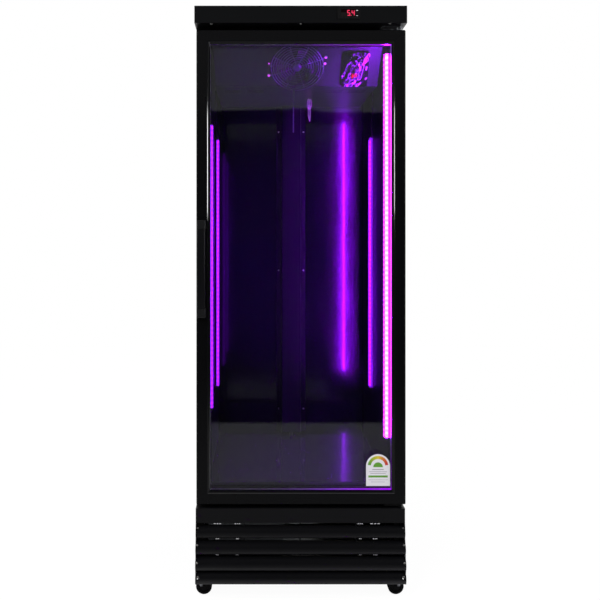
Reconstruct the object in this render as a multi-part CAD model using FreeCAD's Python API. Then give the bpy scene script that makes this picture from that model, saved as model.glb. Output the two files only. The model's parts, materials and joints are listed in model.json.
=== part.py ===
import FreeCAD, Part

import math
import os

from FreeCAD import Placement, Rotation, Vector

# Upright glass-door cabinet: an insulated box on casters, cooled by a fan coil under its ceiling
# and lit by four lamp strips.  Millimetres.  +Z is up, the front faces -Y, and the origin lies on
# the floor under the middle of the overall box.

# ---- Driving sizes -------------------------------------------------------------------------------

# Body
body_width = 655.0
body_depth = 596.0
wall_build = 37.5            # side wall, outer skin to inner face
back_build = 45.0
floor_build = 48.0
roof_build = 45.0
inner_height = 1427.0
bay_height = 217.0           # chassis underside to the insulated floor
skin_thickness = 1.2
liner_thickness = 2.0
side_flange = 25.0           # the side panel's turned-in front edge
rear_flange = 14.0
throat_depth = 26.0          # how far the breaker frame reaches into the cabinet
throat_drop = 24.0           # how far its top bar hangs below the ceiling
chase_half_width = 20.0      # pipe chase in the back's foam
chase_depth = 32.0
chase_head = 90.0            # above the evaporator cover's pan

# Rear cover
rear_cover_recess = 10.0
rear_slot_length = 84.0
rear_slot_height = 5.0
rear_slot_pitch = 20.0
rear_slot_gap = 20.0
rear_slot_shift = 20.0       # the slots stand off centre, away from the gland
rear_slot_foot = 50.0
rear_slot_rows = 7
rear_slot_columns = 4

# Header
header_height = 53.5
header_rise = 30.0           # above the roof
header_overhang = 18.0       # ahead of the door's face
header_crown = 40.0          # flat top, front to back
header_foot = 30.0           # flange on the roof
header_thickness = 1.5
header_screw_inset = 51.5    # outer underside screws, inside the body's side
header_screw_setback = 7.0

# Door
door_margin = 5.0            # narrower than the body
door_thickness = 42.0
door_side_gap = 0.5          # the hinge edge, inside the body's width
door_head_gap = 15.5         # door to header
door_sill_lap = 7.0          # door's foot above the insulated floor's underside
frame_face = 35.0
frame_bead = 8.0
bead_depth = 6.0
frame_wall = 3.0
frame_corner_radius = 5.0
frame_key = 14.0             # solid length at each mitre, beyond the frame's width
glass_recess = 8.0
glass_thickness = 4.0
glass_air_gap = 16.0
glass_edge_lap = 7.0         # glass held behind the bead
spacer_width = 16.0
bead_back_lip = 2.0
back_chamfer = 4.0
gasket_thickness = 12.0
gasket_width = 15.0
gasket_edge = 20.5           # body side to the gasket's outer edge
gasket_top_margin = 7.0      # below the ceiling
gasket_foot_drop = 10.0

# Hinges
hinge_inset = 17.5           # pivot axis, inside the body's side
hinge_depth = 20.0           # pivot axis, behind the door's face
pivot_radius = 5.0
pivot_length = 26.0
bush_wall = 3.0
bush_flange = 3.0            # bush beyond the pin's end
collar_wall = 4.0
hinge_plate = 4.0
hinge_plate_width = 66.0
hinge_plate_chamfer = 8.0
hinge_flange = 9.5
lower_hinge_flange = 32.0
lower_hinge_gap = 3.0        # plate to the door's foot
hinge_nose = 11.0
hinge_screw_pitch = 20.0

# Handle
handle_reach = 36.0
handle_length = 300.0
handle_width = 27.0
handle_bar = 11.0
handle_bow = 10.0
handle_bar_inset = 1.0
handle_block = 27.0
handle_edge_gap = 3.0        # from the door's free edge
handle_height = 1024.0       # handle's middle above the floor
handle_round = 3.0
handle_bar_chamfer = 2.2

# Grille
grille_margin = 5.0          # narrower than the body
grille_door_gap = 12.0
grille_clearance = 52.0      # floor to the grille's foot
grille_band = 45.0
louvre_gap = 12.0
louvre_height = 35.0
louvre_noses = (6.0, 14.0, 20.0, 20.0)
louvre_thickness = 2.5
louvre_rake = 14.0           # how far a louvre's top edge lies behind the band's face
louvre_tuck = 5.0            # how far its foot lies behind its nose
louvre_crest = 0.62          # the nose, as a share of the louvre's height from its top
grille_wall = 3.0
grille_rib_pitch = 175.0
grille_rib_thickness = 2.4
grille_rib_depth = 34.0
grille_rib_foot = 34.0       # above the chassis
grille_rib_tail = 7.5        # below that, clear of the chassis's edge
grille_ribs = 3
# Edges of cheek and rib at each louvre: share of the nose forward, set back, share of the height down
cheek_steps = ((0.55, 0.0, 0.2), (1.0, 0.0, 0.6), (1.0, 4.0, 1.0))
rib_steps = ((0.0, 6.0, -0.08), (0.4, 4.0, 0.2), (1.0, 2.0, 0.6), (1.0, 7.0, 0.91))
grille_boss_radius = 5.0
grille_boss_reach = 12.5     # ahead of the band's face
grille_screw_inset = 7.5
grille_screw_height = 5.5    # above the chassis underside
caster_swing_gap = 1.5       # cheek's cut-out, beyond the fork's sweep

# Casters
caster_height = 68.0
wheel_radius = 25.0
wheel_width = 18.0
tyre_depth = 7.0
tyre_set = 0.5               # tyre inside the hub's faces
hub_radius = 8.0
hub_dish = 3.0
caster_trail = 10.0
caster_side_inset = 26.0     # wheel's middle, inside the body's side
caster_front_inset = 35.0    # stem, behind the door's face
caster_rear_inset = 35.0
caster_plate = 3.0
caster_plate_size = 27.0
caster_pin_radius = 4.0
caster_head_radius = 6.0
caster_head = 1.7
race_radius = 12.5
race_height = 7.5
crown_radius = 13.5
crown_thickness = 3.5
crown_sides = 16
axle_radius = 3.0
axle_head = 1.5              # beyond the fork's cheek
fork_thickness = 2.5
wheel_gap = 1.0              # wheel to the fork's cheek
fork_front = 24.0            # crown's end over the wheel, from the stem
fork_back = 6.0
# Cheek's corners: out from the wheel's middle, and height above the floor
fork_cheek = ((14.0, 34.0), (9.0, 15.0), (1.0, 15.0), (-8.0, 25.0))

# Evaporator cover and fan
cover_setback = 59.0         # body's front to the cover's top edge
cover_drop = 117.0
cover_slope = 45.0
cover_side_gap = 12.0        # liner side to the cover's end
cover_thickness = 1.5
cover_flange = 14.0
mouth_lip = 4.5
cover_slot_length = 60.0
cover_slot_width = 6.0
cover_slot_columns = (-220.0, -140.0, 140.0, 220.0)
cover_slot_rows = (60.0, 80.0, 100.0)
fan_radius = 66.0
fan_slope_height = 78.0      # up the slope from the lower bend
fan_depth = 15.0
fan_hub_radius = 20.0
fan_shaft = 3.0
fan_blades = 5
blade_pitch = 21.0           # degrees
blade_chord = 0.54           # share of the fan's radius
blade_thickness = 1.4
rotor_back = -14.0           # fan's back, behind the slope's face
motor_radius = 22.0
motor_length = 36.0
motor_gap = 3.0              # motor to rotor
motor_bar_width = 16.0
motor_bar_foot = 14.0
motor_bar_gap = 9.0          # mouth's edge to the bar's leg
motor_bar_thickness = 1.6
guard_radius = 87.5
guard_wire = 1.1
guard_rings = 8
guard_ring_sides = 20
guard_spokes = 8
guard_inner_ring = 14.0
guard_standoff = 9.0
guard_turn = 20.0            # first spoke, from the level line
guard_leg = 4.0              # mounting leg outside the last ring
guard_ear_reach = 13.0
guard_ear_half = 3.5
guard_sink = 0.3             # rings sunk in the spokes by their weld

# Controls on the slope
plate_end_gap = 131.0        # cover's end to the plate's left edge
plate_width = 93.0
plate_length = 130.0
plate_foot = 2.5
plate_thickness = 8.0
plate_corner = 9.0
plate_screw_height = 14.0
knob_radius = 14.0
knob_height = 12.0
knob_skirt = 2.0
knob_sides = 12
knob_shaft = 3.0
knob_slope_height = 103.0
pointer_width = 2.4
rocker_width = 20.0
rocker_length = 14.0
rocker_slope_height = 47.0
rocker_throw = 10.0          # degrees each side of level
rocker_pin = 1.5
rocker_pin_reach = 3.2       # beyond the rocker's side
rocker_pivot = 4.0           # pin above the slope
rocker_rise = 2.4            # crown above the plate
rocker_well_gap = 1.6
rocker_side_gap = 0.4

# Controller in the header
controller_width = 70.0
controller_height = 34.0
controller_depth = 46.0
controller_inset = 179.5     # its middle, inside the body's side
controller_lift = 2.5        # its middle, above the header's
bezel_thickness = 2.5
bezel_lap = 2.0
bezel_corner = 2.0
window_width = 37.0
window_height = 24.0
window_shift = -6.0
window_recess = 1.5
window_gap = 0.2
button_width = 9.0
button_height = 6.5
button_corner = 1.2
button_travel = 0.8
button_shift = 25.0
button_pitch = 16.0
key_well = 3.0               # behind the header's face

# Back channel, probe and lamps
channel_half_width = 36.0
channel_foot_half_width = 57.5
channel_depth = 20.0
channel_flare = 3.0
channel_floor_gap = 14.0
channel_screw_foot = 90.0
channel_screw_head = 99.0
probe_radius = 1.5
probe_bulb_radius = 3.0
probe_bulb_length = 27.0
probe_drop = 100.0
probe_drift = 6.0            # how far the lead wanders sideways
probe_bend = 7.0
lamp_width = 14.0
lamp_base = 6.0
lamp_dome = 6.0
lamp_cap = 8.0
lamp_front_inset = 12.0      # strip's middle, behind the body's front
lamp_rear_inset = 214.0      # strip's middle, ahead of the back liner
long_lamp_foot = 141.0       # above the floor
long_lamp_head = 44.0        # below the ceiling
lamp_foot = 235.0
lamp_head = 271.0
lamp_lead_radius = 2.0
lamp_lead_shift = 4.0
lamp_lead_tuck = 20.0        # lead's end above the cover's pan

# Chassis
chassis_thickness = 2.0
chassis_upstand = 26.0
chassis_front_gap = 3.0      # tongue's edge behind the louvres' top edges
rail_half_width = 18.0
rail_foot = 12.0
rail_height = 14.0
front_rail_gap = 150.0       # rail behind the front casters
rear_rail_gap = 250.0        # rail ahead of the rear casters

# Compressor
compressor_radius = 72.0
compressor_height = 178.0
compressor_side_inset = 162.5
compressor_back_inset = 150.0
compressor_seat = 12.0       # foot plate's top above the bay floor
compressor_seam = 3.0
compressor_shoulder = 0.82   # share of the height
compressor_crown = 0.6       # share of the radius
compressor_sides = 24
foot_plate_half = (88.0, 52.0)
foot_plate_thickness = 3.0
foot_half_pitch = (76.0, 40.0)
foot_radius = 9.0

# Condenser, its fan and the drip tray
condenser_width = 240.0
condenser_height = 176.0
condenser_depth = 44.0
condenser_side_gap = 36.0
condenser_front_gap = 16.0
condenser_fan_radius = 74.0
condenser_fan_depth = 16.0
condenser_hub_radius = 18.0
condenser_core = 6.0
shroud_thickness = 3.0
shroud_ring_depth = 22.0
shroud_sides = 32
hub_gap = 10.0               # shroud plate to the fan's hub
bay_motor_radius = 26.0
bay_motor_length = 46.0
bay_motor_gap = 18.0
bay_bar_half = 10.0
bay_bar_foot = 10.0
bay_bar_set = 22.0
tray_height = 34.0
tray_depth = 170.0
tray_back_gap = 50.0
tray_wall = 2.0

# Coil and pipes
coil_depth = 200.0
coil_height = 84.0
coil_front_gap = 70.0        # behind the cover's lower bend
coil_end_gap = 40.0          # inside the cover's end
coil_core = 8.0
coil_header_half = (12.0, 8.0)
fin_count = 16
fin_thickness = 1.2
tube_radius = 4.0
hairpin_radius = 12.0
hairpin_rows = 3
drain_radius = 6.0
drain_wall = 1.5
drain_back_gap = 10.0
drain_foot = 14.0            # above the bay floor
pipe_radius = 4.0
pipe_bend = 9.0
pipe_rise = 14.0             # above the compressor
pipe_shift = 18.0            # suction line beside the compressor's axis
pipe_setback = 20.0          # suction line behind the liner
stub_shift = 15.0            # discharge stub from the compressor's axis
riser_shift = 12.0
grommet_gap = 4.0

# Cord gland
gland_bore_radius = 4.5
gland_radius = 9.0
gland_thread_radius = 7.0
gland_side_inset = 60.0
gland_height = 22.0          # above the bay floor
gland_inside = 12.0
gland_nut = 4.0
gland_nut_radius = 10.0

# Fits and clearances
seat_gap = 0.3               # a piece at rest off its seat
running_gap = 0.05           # a shaft in its bore
edge_gap = 1.0
tip_gap = 3.0
screw_radius = 3.5
screw_head = 2.2
screw_sides = 10
through = 1.0                # how far a cutting shape passes the faces it cuts

# ---- Planes that several pieces share ------------------------------------------------------------

overall_depth = handle_reach + door_thickness + gasket_thickness + body_depth
face_y = -overall_depth / 2 + handle_reach
door_back_y = face_y + door_thickness
body_y = door_back_y + gasket_thickness
back_y = body_y + body_depth
liner_y = back_y - back_build
header_y = face_y - header_overhang

side_x = body_width / 2
inner_x = side_x - wall_build

chassis_z = caster_height
bay_floor_z = chassis_z + chassis_thickness
box_z = chassis_z + bay_height
floor_z = box_z + floor_build
ceiling_z = floor_z + inner_height
roof_z = ceiling_z + roof_build
header_top_z = roof_z + header_rise
header_z = header_top_z - header_height

door_width = body_width - door_margin
door_right = side_x - door_side_gap
door_left = door_right - door_width
door_z = box_z + door_sill_lap
door_top_z = header_z - door_head_gap
frame_reach = frame_face + frame_bead
pane_inset = frame_reach - glass_edge_lap + seat_gap
glass_y = face_y + glass_recess
inner_glass_y = glass_y + glass_thickness + glass_air_gap
gasket_x = side_x - gasket_edge
gasket_margin = door_right - gasket_x
hinge_x = side_x - hinge_inset
hinge_y = face_y + hinge_depth
handle_x = door_left + handle_edge_gap
handle_z = handle_height - handle_length / 2

grille_width = body_width - grille_margin
grille_top_z = door_z - grille_door_gap
grille_screw_x = grille_width / 2 - grille_screw_inset
grille_screw_z = chassis_z + grille_screw_height

caster_y_front = face_y + caster_front_inset
caster_y_rear = back_y - caster_rear_inset
wheel_x = side_x - caster_side_inset
stem_x = wheel_x + caster_trail
race_z = chassis_z - caster_plate - race_height
crown_top = race_z - seat_gap
fork_half_width = wheel_width / 2 + wheel_gap + fork_thickness
fork_sweep = math.hypot(fork_front, fork_half_width)

bay_half = side_x - skin_thickness
chassis_front = face_y + louvre_rake + chassis_front_gap
tongue_half = grille_width / 2 - grille_wall - seat_gap
rear_cover_y = back_y - rear_cover_recess
gland_x = side_x - gland_side_inset
gland_z = bay_floor_z + gland_height

slope = math.radians(cover_slope)
bend_y = body_y + cover_setback + cover_drop / math.tan(slope)
bend_z = ceiling_z - cover_drop
slope_out = (0, -math.sin(slope), -math.cos(slope))
cover_half_width = inner_x - cover_side_gap
plate_left = cover_half_width - plate_end_gap
knob_x = plate_left + plate_width / 2
rocker_well_half = (rocker_width / 2 + rocker_well_gap, rocker_length / 2 + rocker_side_gap)
guard_ear = guard_radius + guard_ear_reach

controller_x = side_x - controller_inset
controller_z = (header_z + header_top_z) / 2 + controller_lift
button_places = [(controller_x + button_shift, controller_z + button_pitch / 2),
                 (controller_x + button_shift, controller_z - button_pitch / 2)]

compressor_x = side_x - compressor_side_inset
compressor_y = back_y - compressor_back_inset
compressor_top_z = bay_floor_z + compressor_seat + compressor_height
condenser_left = -bay_half + condenser_side_gap
condenser_right = condenser_left + condenser_width
condenser_y = body_y + condenser_front_gap
shroud_y = condenser_y + condenser_depth
condenser_fan_x = (condenser_left + condenser_right) / 2
condenser_fan_z = bay_floor_z + condenser_height / 2
condenser_hub_y = shroud_y + hub_gap

coil_y = bend_y + coil_front_gap
coil_back_y = coil_y + coil_depth
coil_half = cover_half_width - coil_end_gap
last_tube_y = coil_back_y - coil_depth / 8
pipe_x = compressor_x + pipe_shift
pipe_y = liner_y + liner_thickness + pipe_setback
coil_pipe_z = ceiling_z - coil_height * 0.7
drain_y = liner_y - drain_back_gap

channel_top = bend_z - seat_gap
channel_z = floor_z + channel_floor_gap


# ---- Shapes --------------------------------------------------------------------------------------

def box(x0, x1, y0, y1, z0, z1):
    return Part.makeBox(x1 - x0, y1 - y0, z1 - z0, Vector(x0, y0, z0))


def rod(radius, start, direction, length):
    return Part.makeCylinder(radius, length, Vector(*start), Vector(*direction))


def bore(radius, start, direction, length):
    """Cutting rod that passes both ends of the wall it goes through."""
    start = Vector(*start) - Vector(*direction) * through
    return Part.makeCylinder(radius, length + 2 * through, start, Vector(*direction))


def face_of(points):
    return Part.Face(Part.makePolygon(points + [points[0]]))


def prism_x(outline, x0, x1):
    """Extrude a (y, z) outline along X."""
    return face_of([Vector(x0, y, z) for y, z in outline]).extrude(Vector(x1 - x0, 0, 0))


def prism_y(outline, y0, y1):
    """Extrude an (x, z) outline along Y."""
    return face_of([Vector(x, y0, z) for x, z in outline]).extrude(Vector(0, y1 - y0, 0))


def prism_z(outline, z0, z1):
    """Extrude an (x, y) outline along Z."""
    return face_of([Vector(x, y, z0) for x, y in outline]).extrude(Vector(0, 0, z1 - z0))


def many_sided(radius, start, direction, length, sides):
    """Flat-sided bar, for round shapes that nothing turns or slides in."""
    turns = [2 * math.pi * (k + 0.5) / sides for k in range(sides)]
    bar = prism_z([(radius * math.cos(a), radius * math.sin(a)) for a in turns], 0, length)
    bar.Placement = Placement(Vector(*start), Rotation(Vector(0, 0, 1), Vector(*direction)))
    return bar


def folded(line, thickness):
    """Outline of a folded sheet: the bent line and its parallel, on the line's left."""
    offsets = []
    for i, (a, b) in enumerate(line):
        normals = []
        for j in (i - 1, i):
            if 0 <= j < len(line) - 1:
                du = line[j + 1][0] - line[j][0]
                dv = line[j + 1][1] - line[j][1]
                run = math.hypot(du, dv)
                normals.append((-dv / run, du / run))
        nu = sum(n[0] for n in normals) / len(normals)
        nv = sum(n[1] for n in normals) / len(normals)
        scale = thickness / (nu * nu + nv * nv)
        offsets.append((a + nu * scale, b + nv * scale))
    return list(line) + offsets[::-1]


def ring_slab(x0, x1, z0, z1, y0, y1, width):
    """Four butted bars around a rectangle, as separate solids."""
    return [box(x0, x0 + width, y0, y1, z0 + width, z1 - width),
            box(x1 - width, x1, y0, y1, z0 + width, z1 - width),
            box(x0, x1, y0, y1, z0, z0 + width),
            box(x0, x1, y0, y1, z1 - width, z1)]


def rounded_box(x0, x1, y0, y1, z0, z1, radius, axis):
    """Box with its four edges along an axis rounded."""
    solid = box(x0, x1, y0, y1, z0, z1)
    edges = [e for e in solid.Edges if abs(e.tangentAt(e.FirstParameter).dot(axis)) > 0.99]
    return solid.makeFillet(radius, edges)


def mirror_x(shape):
    return shape.mirror(Vector(0, 0, 0), Vector(1, 0, 0))


def turned(profile, start, direction):
    """Revolve a (radius, height) outline about an axis."""
    face = face_of([Vector(r, 0, h) for r, h in profile])
    solid = face.revolve(Vector(0, 0, 0), Vector(0, 0, 1), 360)
    solid.Placement = Placement(Vector(*start), Rotation(Vector(0, 0, 1), Vector(*direction)))
    return solid


def tube(points, radius, bend, sides=8):
    """Bar or pipe with a many-sided section, its bends turned in short chords."""
    points = [Vector(*p) for p in points]
    path = [points[0]]
    chords = 3
    for i in range(1, len(points) - 1):
        before = (points[i] - points[i - 1]).normalize()
        after = (points[i + 1] - points[i]).normalize()
        turn = before.getAngle(after)
        centre = points[i] + (after - before).normalize() * (bend / math.cos(turn / 2))
        spin = Rotation(before.cross(after), math.degrees(turn / chords))
        arm = points[i] - before * bend * math.tan(turn / 2) - centre
        for step in range(chords + 1):
            path.append(centre + arm)
            arm = spin.multVec(arm)
    path.append(points[-1])
    direction = (points[1] - points[0]).normalize()
    aside = Vector(1, 0, 0) if abs(direction.x) < 0.9 else Vector(0, 1, 0)
    across = direction.cross(aside).normalize()
    up = direction.cross(across)
    rim = [points[0] + (across * math.cos(a) + up * math.sin(a)) * radius
           for a in (2 * math.pi * (k + 0.5) / sides for k in range(sides))]
    section = Part.makePolygon(rim + [rim[0]])
    spine = Part.makePolygon(path)
    return spine.makePipeShell([section], True, False, 1)


def screw(point, direction):
    """Pan head seated on a surface."""
    return many_sided(screw_radius, point, direction, screw_head, screw_sides)


def on_slope(shape):
    """Move a piece drawn on the level to the evaporator cover's slope: X across, Y up, Z out."""
    shape.Placement = Placement(Vector(0, bend_y, bend_z),
                                Rotation(Vector(1, 0, 0), 180 - cover_slope)).multiply(shape.Placement)
    return shape


def slope_point(x, t, n):
    return (x, bend_y - t * math.cos(slope) - n * math.sin(slope),
            bend_z + t * math.sin(slope) - n * math.cos(slope))


# ---- Cabinet shell -------------------------------------------------------------------------------

def make_side_panels():
    """Folded skins: a front edge for the gasket to hold, and a rear edge behind the back panel."""
    t = skin_thickness
    outline = [(side_x - side_flange, body_y), (side_x, body_y), (side_x, back_y), (side_x - t, back_y),
               (side_x - t, back_y - t), (side_x - rear_flange, back_y - t),
               (side_x - rear_flange, back_y - 2 * t), (side_x - t, back_y - 2 * t),
               (side_x - t, body_y + t), (side_x - side_flange, body_y + t)]
    right = prism_z(outline, chassis_z, roof_z - t)
    foot = box(0, bay_half, body_y - through, back_y + through, chassis_z - through, bay_floor_z)
    right = right.cut(foot)
    return [right, mirror_x(right)]


def make_back_panel():
    x = side_x - skin_thickness
    return [box(-x, x, back_y - skin_thickness, back_y, box_z, roof_z - skin_thickness)]


def make_roof_panel():
    """Roof skin with a lip turned down over the front, between the side panels' edges."""
    x = side_x - side_flange
    top = box(-side_x, side_x, body_y, back_y, roof_z - skin_thickness, roof_z)
    lip = box(-x, x, body_y, body_y + skin_thickness, ceiling_z, roof_z - skin_thickness)
    return [top.fuse(lip)]


def make_foam_core():
    """Foamed insulation that fills the walls, with a chase for the pipes in the back."""
    x = side_x - skin_thickness
    y0 = body_y + liner_thickness
    wall_y = liner_y + liner_thickness
    outer = box(-x, x, y0, back_y - 2 * skin_thickness, box_z, roof_z - skin_thickness)
    inner_half = inner_x + liner_thickness
    hollow = box(-inner_half, inner_half, y0 - through, wall_y,
                 floor_z - liner_thickness, ceiling_z + liner_thickness)
    chase = box(pipe_x - chase_half_width, pipe_x + chase_half_width, wall_y, wall_y + chase_depth,
                box_z - through, bend_z + chase_head)
    drain = bore(drain_radius + seat_gap, (0, drain_y, box_z), (0, 0, 1), floor_build)
    return [outer.cut(hollow).cut(chase).cut(drain)]


def make_liner_sides():
    plate = box(inner_x, inner_x + liner_thickness, body_y + throat_depth, liner_y + liner_thickness,
                floor_z, ceiling_z)
    return [plate, mirror_x(plate)]


def make_liner_back():
    plate = box(-inner_x, inner_x, liner_y, liner_y + liner_thickness, floor_z, ceiling_z)
    return [plate.cut(bore(pipe_radius + grommet_gap, (pipe_x, liner_y, coil_pipe_z), (0, 1, 0),
                           liner_thickness))]


def make_liner_floor():
    half = inner_x + liner_thickness
    z0 = floor_z - liner_thickness
    plate = box(-half, half, body_y + throat_depth, liner_y + liner_thickness, z0, floor_z)
    return [plate.cut(bore(drain_radius + seat_gap, (0, drain_y, z0), (0, 0, 1), liner_thickness))]


def make_liner_ceiling():
    half = inner_x + liner_thickness
    return [box(-half, half, body_y + throat_depth, liner_y + liner_thickness,
                ceiling_z, ceiling_z + liner_thickness)]


def make_breaker_frame():
    """Plastic throat between the steel edges and the liner, in four strips."""
    t = liner_thickness
    edge_x = side_x - side_flange
    y1 = body_y + throat_depth
    low = ceiling_z - throat_drop
    side = prism_z([(edge_x, body_y), (edge_x, body_y + t), (inner_x + t, body_y + t), (inner_x + t, y1),
                    (inner_x, y1), (inner_x, body_y)], floor_z, low)
    foot = prism_x([(body_y, box_z), (body_y, floor_z), (y1, floor_z), (y1, floor_z - t),
                    (body_y + t, floor_z - t), (body_y + t, box_z)], -edge_x, edge_x)
    head = prism_x([(body_y, low), (body_y, ceiling_z), (body_y + t, ceiling_z), (body_y + t, low + t),
                    (y1 - t, low + t), (y1 - t, ceiling_z), (y1, ceiling_z), (y1, low)],
                   -edge_x, edge_x)
    behind = box(inner_x + t, edge_x + through, body_y + t, y1 + through,
                 box_z - through, ceiling_z + through)
    foot, head = [strip.cut(behind).cut(mirror_x(behind)) for strip in (foot, head)]
    return [side, mirror_x(side), foot, head]


# ---- Chassis and machine bay ---------------------------------------------------------------------

def make_chassis():
    """Base tray: a tongue ahead of the body carries the grille and the front casters."""
    t = chassis_thickness
    step_y = body_y + skin_thickness
    plan = [(-tongue_half, chassis_front), (tongue_half, chassis_front), (tongue_half, body_y),
            (bay_half, step_y), (bay_half, back_y), (-bay_half, back_y), (-bay_half, step_y),
            (-tongue_half, body_y)]
    tray = prism_z(plan, chassis_z, bay_floor_z)
    tray = tray.fuse(box(-tongue_half, tongue_half, chassis_front, chassis_front + t,
                         bay_floor_z, bay_floor_z + chassis_upstand))
    for x0 in (-bay_half, bay_half - t):
        tray = tray.fuse(box(x0, x0 + t, step_y, rear_cover_y - skin_thickness,
                             bay_floor_z, bay_floor_z + chassis_upstand))
    half, foot = rail_half_width, rail_half_width + rail_foot
    low, high = bay_floor_z, bay_floor_z + rail_height
    for y in (caster_y_front + front_rail_gap, caster_y_rear - rear_rail_gap):
        rail = folded([(y - foot, low), (y - half, low), (y - half, high), (y + half, high), (y + half, low),
                       (y + foot, low)], t)
        tray = tray.fuse(prism_x(rail, -bay_half + t, bay_half - t))
    return [tray.removeSplitter()]


def make_compressor():
    """Hermetic can on a foot plate with four rubber feet."""
    x, y = compressor_x, compressor_y
    z = bay_floor_z + compressor_seat
    r, h, sides = compressor_radius, compressor_height, compressor_sides
    shoulder = h * compressor_shoulder
    can = many_sided(r, (x, y, z), (0, 0, 1), shoulder, sides)
    seam = many_sided(r + compressor_seam, (x, y, z + h * 0.48), (0, 0, 1), h * 0.04, sides)
    low, high = [[Vector(x + q * math.cos(a), y + q * math.sin(a), v)
                  for a in (2 * math.pi * (k + 0.5) / sides for k in range(sides))]
                 for q, v in ((r, z + shoulder), (r * compressor_crown, z + h))]
    flats = [face_of([low[k - 1], low[k], high[k], high[k - 1]]) for k in range(sides)]
    crown = Part.makeSolid(Part.makeShell(flats + [face_of(low), face_of(high)]))
    half_x, half_y = foot_plate_half
    plate = box(x - half_x, x + half_x, y - half_y, y + half_y, z - foot_plate_thickness, z)
    pitch_x, pitch_y = foot_half_pitch
    feet = [many_sided(foot_radius, (x + dx, y + dy, bay_floor_z), (0, 0, 1),
                       compressor_seat - foot_plate_thickness, screw_sides)
            for dx in (-pitch_x, pitch_x) for dy in (-pitch_y, pitch_y)]
    return [can.multiFuse([seam, crown, plate] + feet)]


def fin_pack(x0, x1, y0, y1, z0, z1, core):
    """Fins on a core, drawn as one comb along X and raised along Z."""
    pitch = (x1 - x0 - fin_thickness) / (fin_count - 1)
    middle = (y0 + y1) / 2
    front, back = [], []
    for i in range(fin_count):
        x = x0 + i * pitch
        end = x + fin_thickness
        front += [(x, middle - core), (x, y0), (end, y0), (end, middle - core)]
        back += [(x, middle + core), (x, y1), (end, y1), (end, middle + core)]
    return prism_z(front[1:-1] + back[1:-1][::-1], z0, z1)


def hairpins(x, y, z_rows):
    """Return bends at a fin pack's left end, one for each pair of tube rows."""
    r = hairpin_radius
    return [tube([(x, y, z - r), (x - 2 * r, y, z - r), (x - 2 * r, y, z + r), (x, y, z + r)],
                 tube_radius, r * 0.8, 6) for z in z_rows]


def make_condenser_coil():
    """Fin pack with the tube's hairpins at its left end."""
    pack = fin_pack(condenser_left, condenser_right, condenser_y, shroud_y,
                    bay_floor_z, bay_floor_z + condenser_height, condenser_core)
    rows = [bay_floor_z + condenser_height * (i + 0.5) / hairpin_rows for i in range(hairpin_rows)]
    return [pack] + hairpins(condenser_left, (condenser_y + shroud_y) / 2, rows)


def make_condenser_shroud():
    centre = (condenser_fan_x, shroud_y, condenser_fan_z)
    throat = condenser_fan_radius + tip_gap
    plate = box(condenser_left, condenser_right, shroud_y, shroud_y + shroud_thickness,
                bay_floor_z, bay_floor_z + condenser_height)
    ring = many_sided(throat + shroud_thickness, centre, (0, 1, 0), shroud_ring_depth, shroud_sides)
    hole = many_sided(throat, (centre[0], shroud_y - through, centre[2]), (0, 1, 0),
                      shroud_ring_depth + 2 * through, shroud_sides)
    return [plate.fuse(ring).cut(hole)]


def fan_rotor(radius, hub, depth):
    """Hub with flat pitched blades, drawn about Z with its hub from 0 to the depth."""
    rotor = rod(hub, (0, 0, 0), (0, 0, 1), depth)
    half = radius * blade_chord / 2
    tip = math.sqrt(radius ** 2 - half ** 2) - through
    root = half * 0.8
    outline = [(hub - 2 * through, -root), (tip, -half), (radius - through, 0), (tip, half),
               (hub - 2 * through, root)]
    blades = []
    for i in range(fan_blades):
        blade = prism_z(outline, -blade_thickness / 2, blade_thickness / 2)
        blade.rotate(Vector(0, 0, 0), Vector(1, 0, 0), blade_pitch)
        blade.translate(Vector(0, 0, depth / 2))
        blade.rotate(Vector(0, 0, 0), Vector(0, 0, 1), i * 360.0 / fan_blades)
        blades.append(blade)
    return rotor.multiFuse(blades).cut(bore(fan_shaft + running_gap, (0, 0, 0), (0, 0, 1), depth))


def make_condenser_fan():
    rotor = fan_rotor(condenser_fan_radius, condenser_hub_radius, condenser_fan_depth)
    rotor.Placement = Placement(Vector(condenser_fan_x, condenser_hub_y, condenser_fan_z),
                                Rotation(Vector(1, 0, 0), -90))
    return [rotor]


def make_condenser_fan_motor():
    """Motor behind the fan on a bar across the shroud."""
    x, z = condenser_fan_x, condenser_fan_z
    y0 = condenser_hub_y + bay_motor_gap
    y1 = y0 + bay_bar_set
    motor = rod(bay_motor_radius, (x, y0, z), (0, 1, 0), bay_motor_length)
    shaft = rod(fan_shaft, (x, condenser_hub_y, z), (0, 1, 0), bay_motor_gap + through)
    reach = condenser_fan_radius + tip_gap + 3 * shroud_thickness
    foot = reach + bay_bar_foot
    seat_y = shroud_y + shroud_thickness + chassis_thickness
    bar = prism_z(folded([(x - foot, seat_y), (x - reach, seat_y), (x - reach, y1), (x + reach, y1),
                          (x + reach, seat_y), (x + foot, seat_y)], -chassis_thickness),
                  z - bay_bar_half, z + bay_bar_half)
    return [motor.fuse(shaft).fuse(bar)]


def make_drip_tray():
    y1 = back_y - tray_back_gap
    y0 = y1 - tray_depth
    t = tray_wall
    tray = box(condenser_left, condenser_right, y0, y1, bay_floor_z, bay_floor_z + tray_height)
    return [tray.cut(box(condenser_left + t, condenser_right - t, y0 + t, y1 - t,
                         bay_floor_z + t, bay_floor_z + tray_height + through))]


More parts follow.
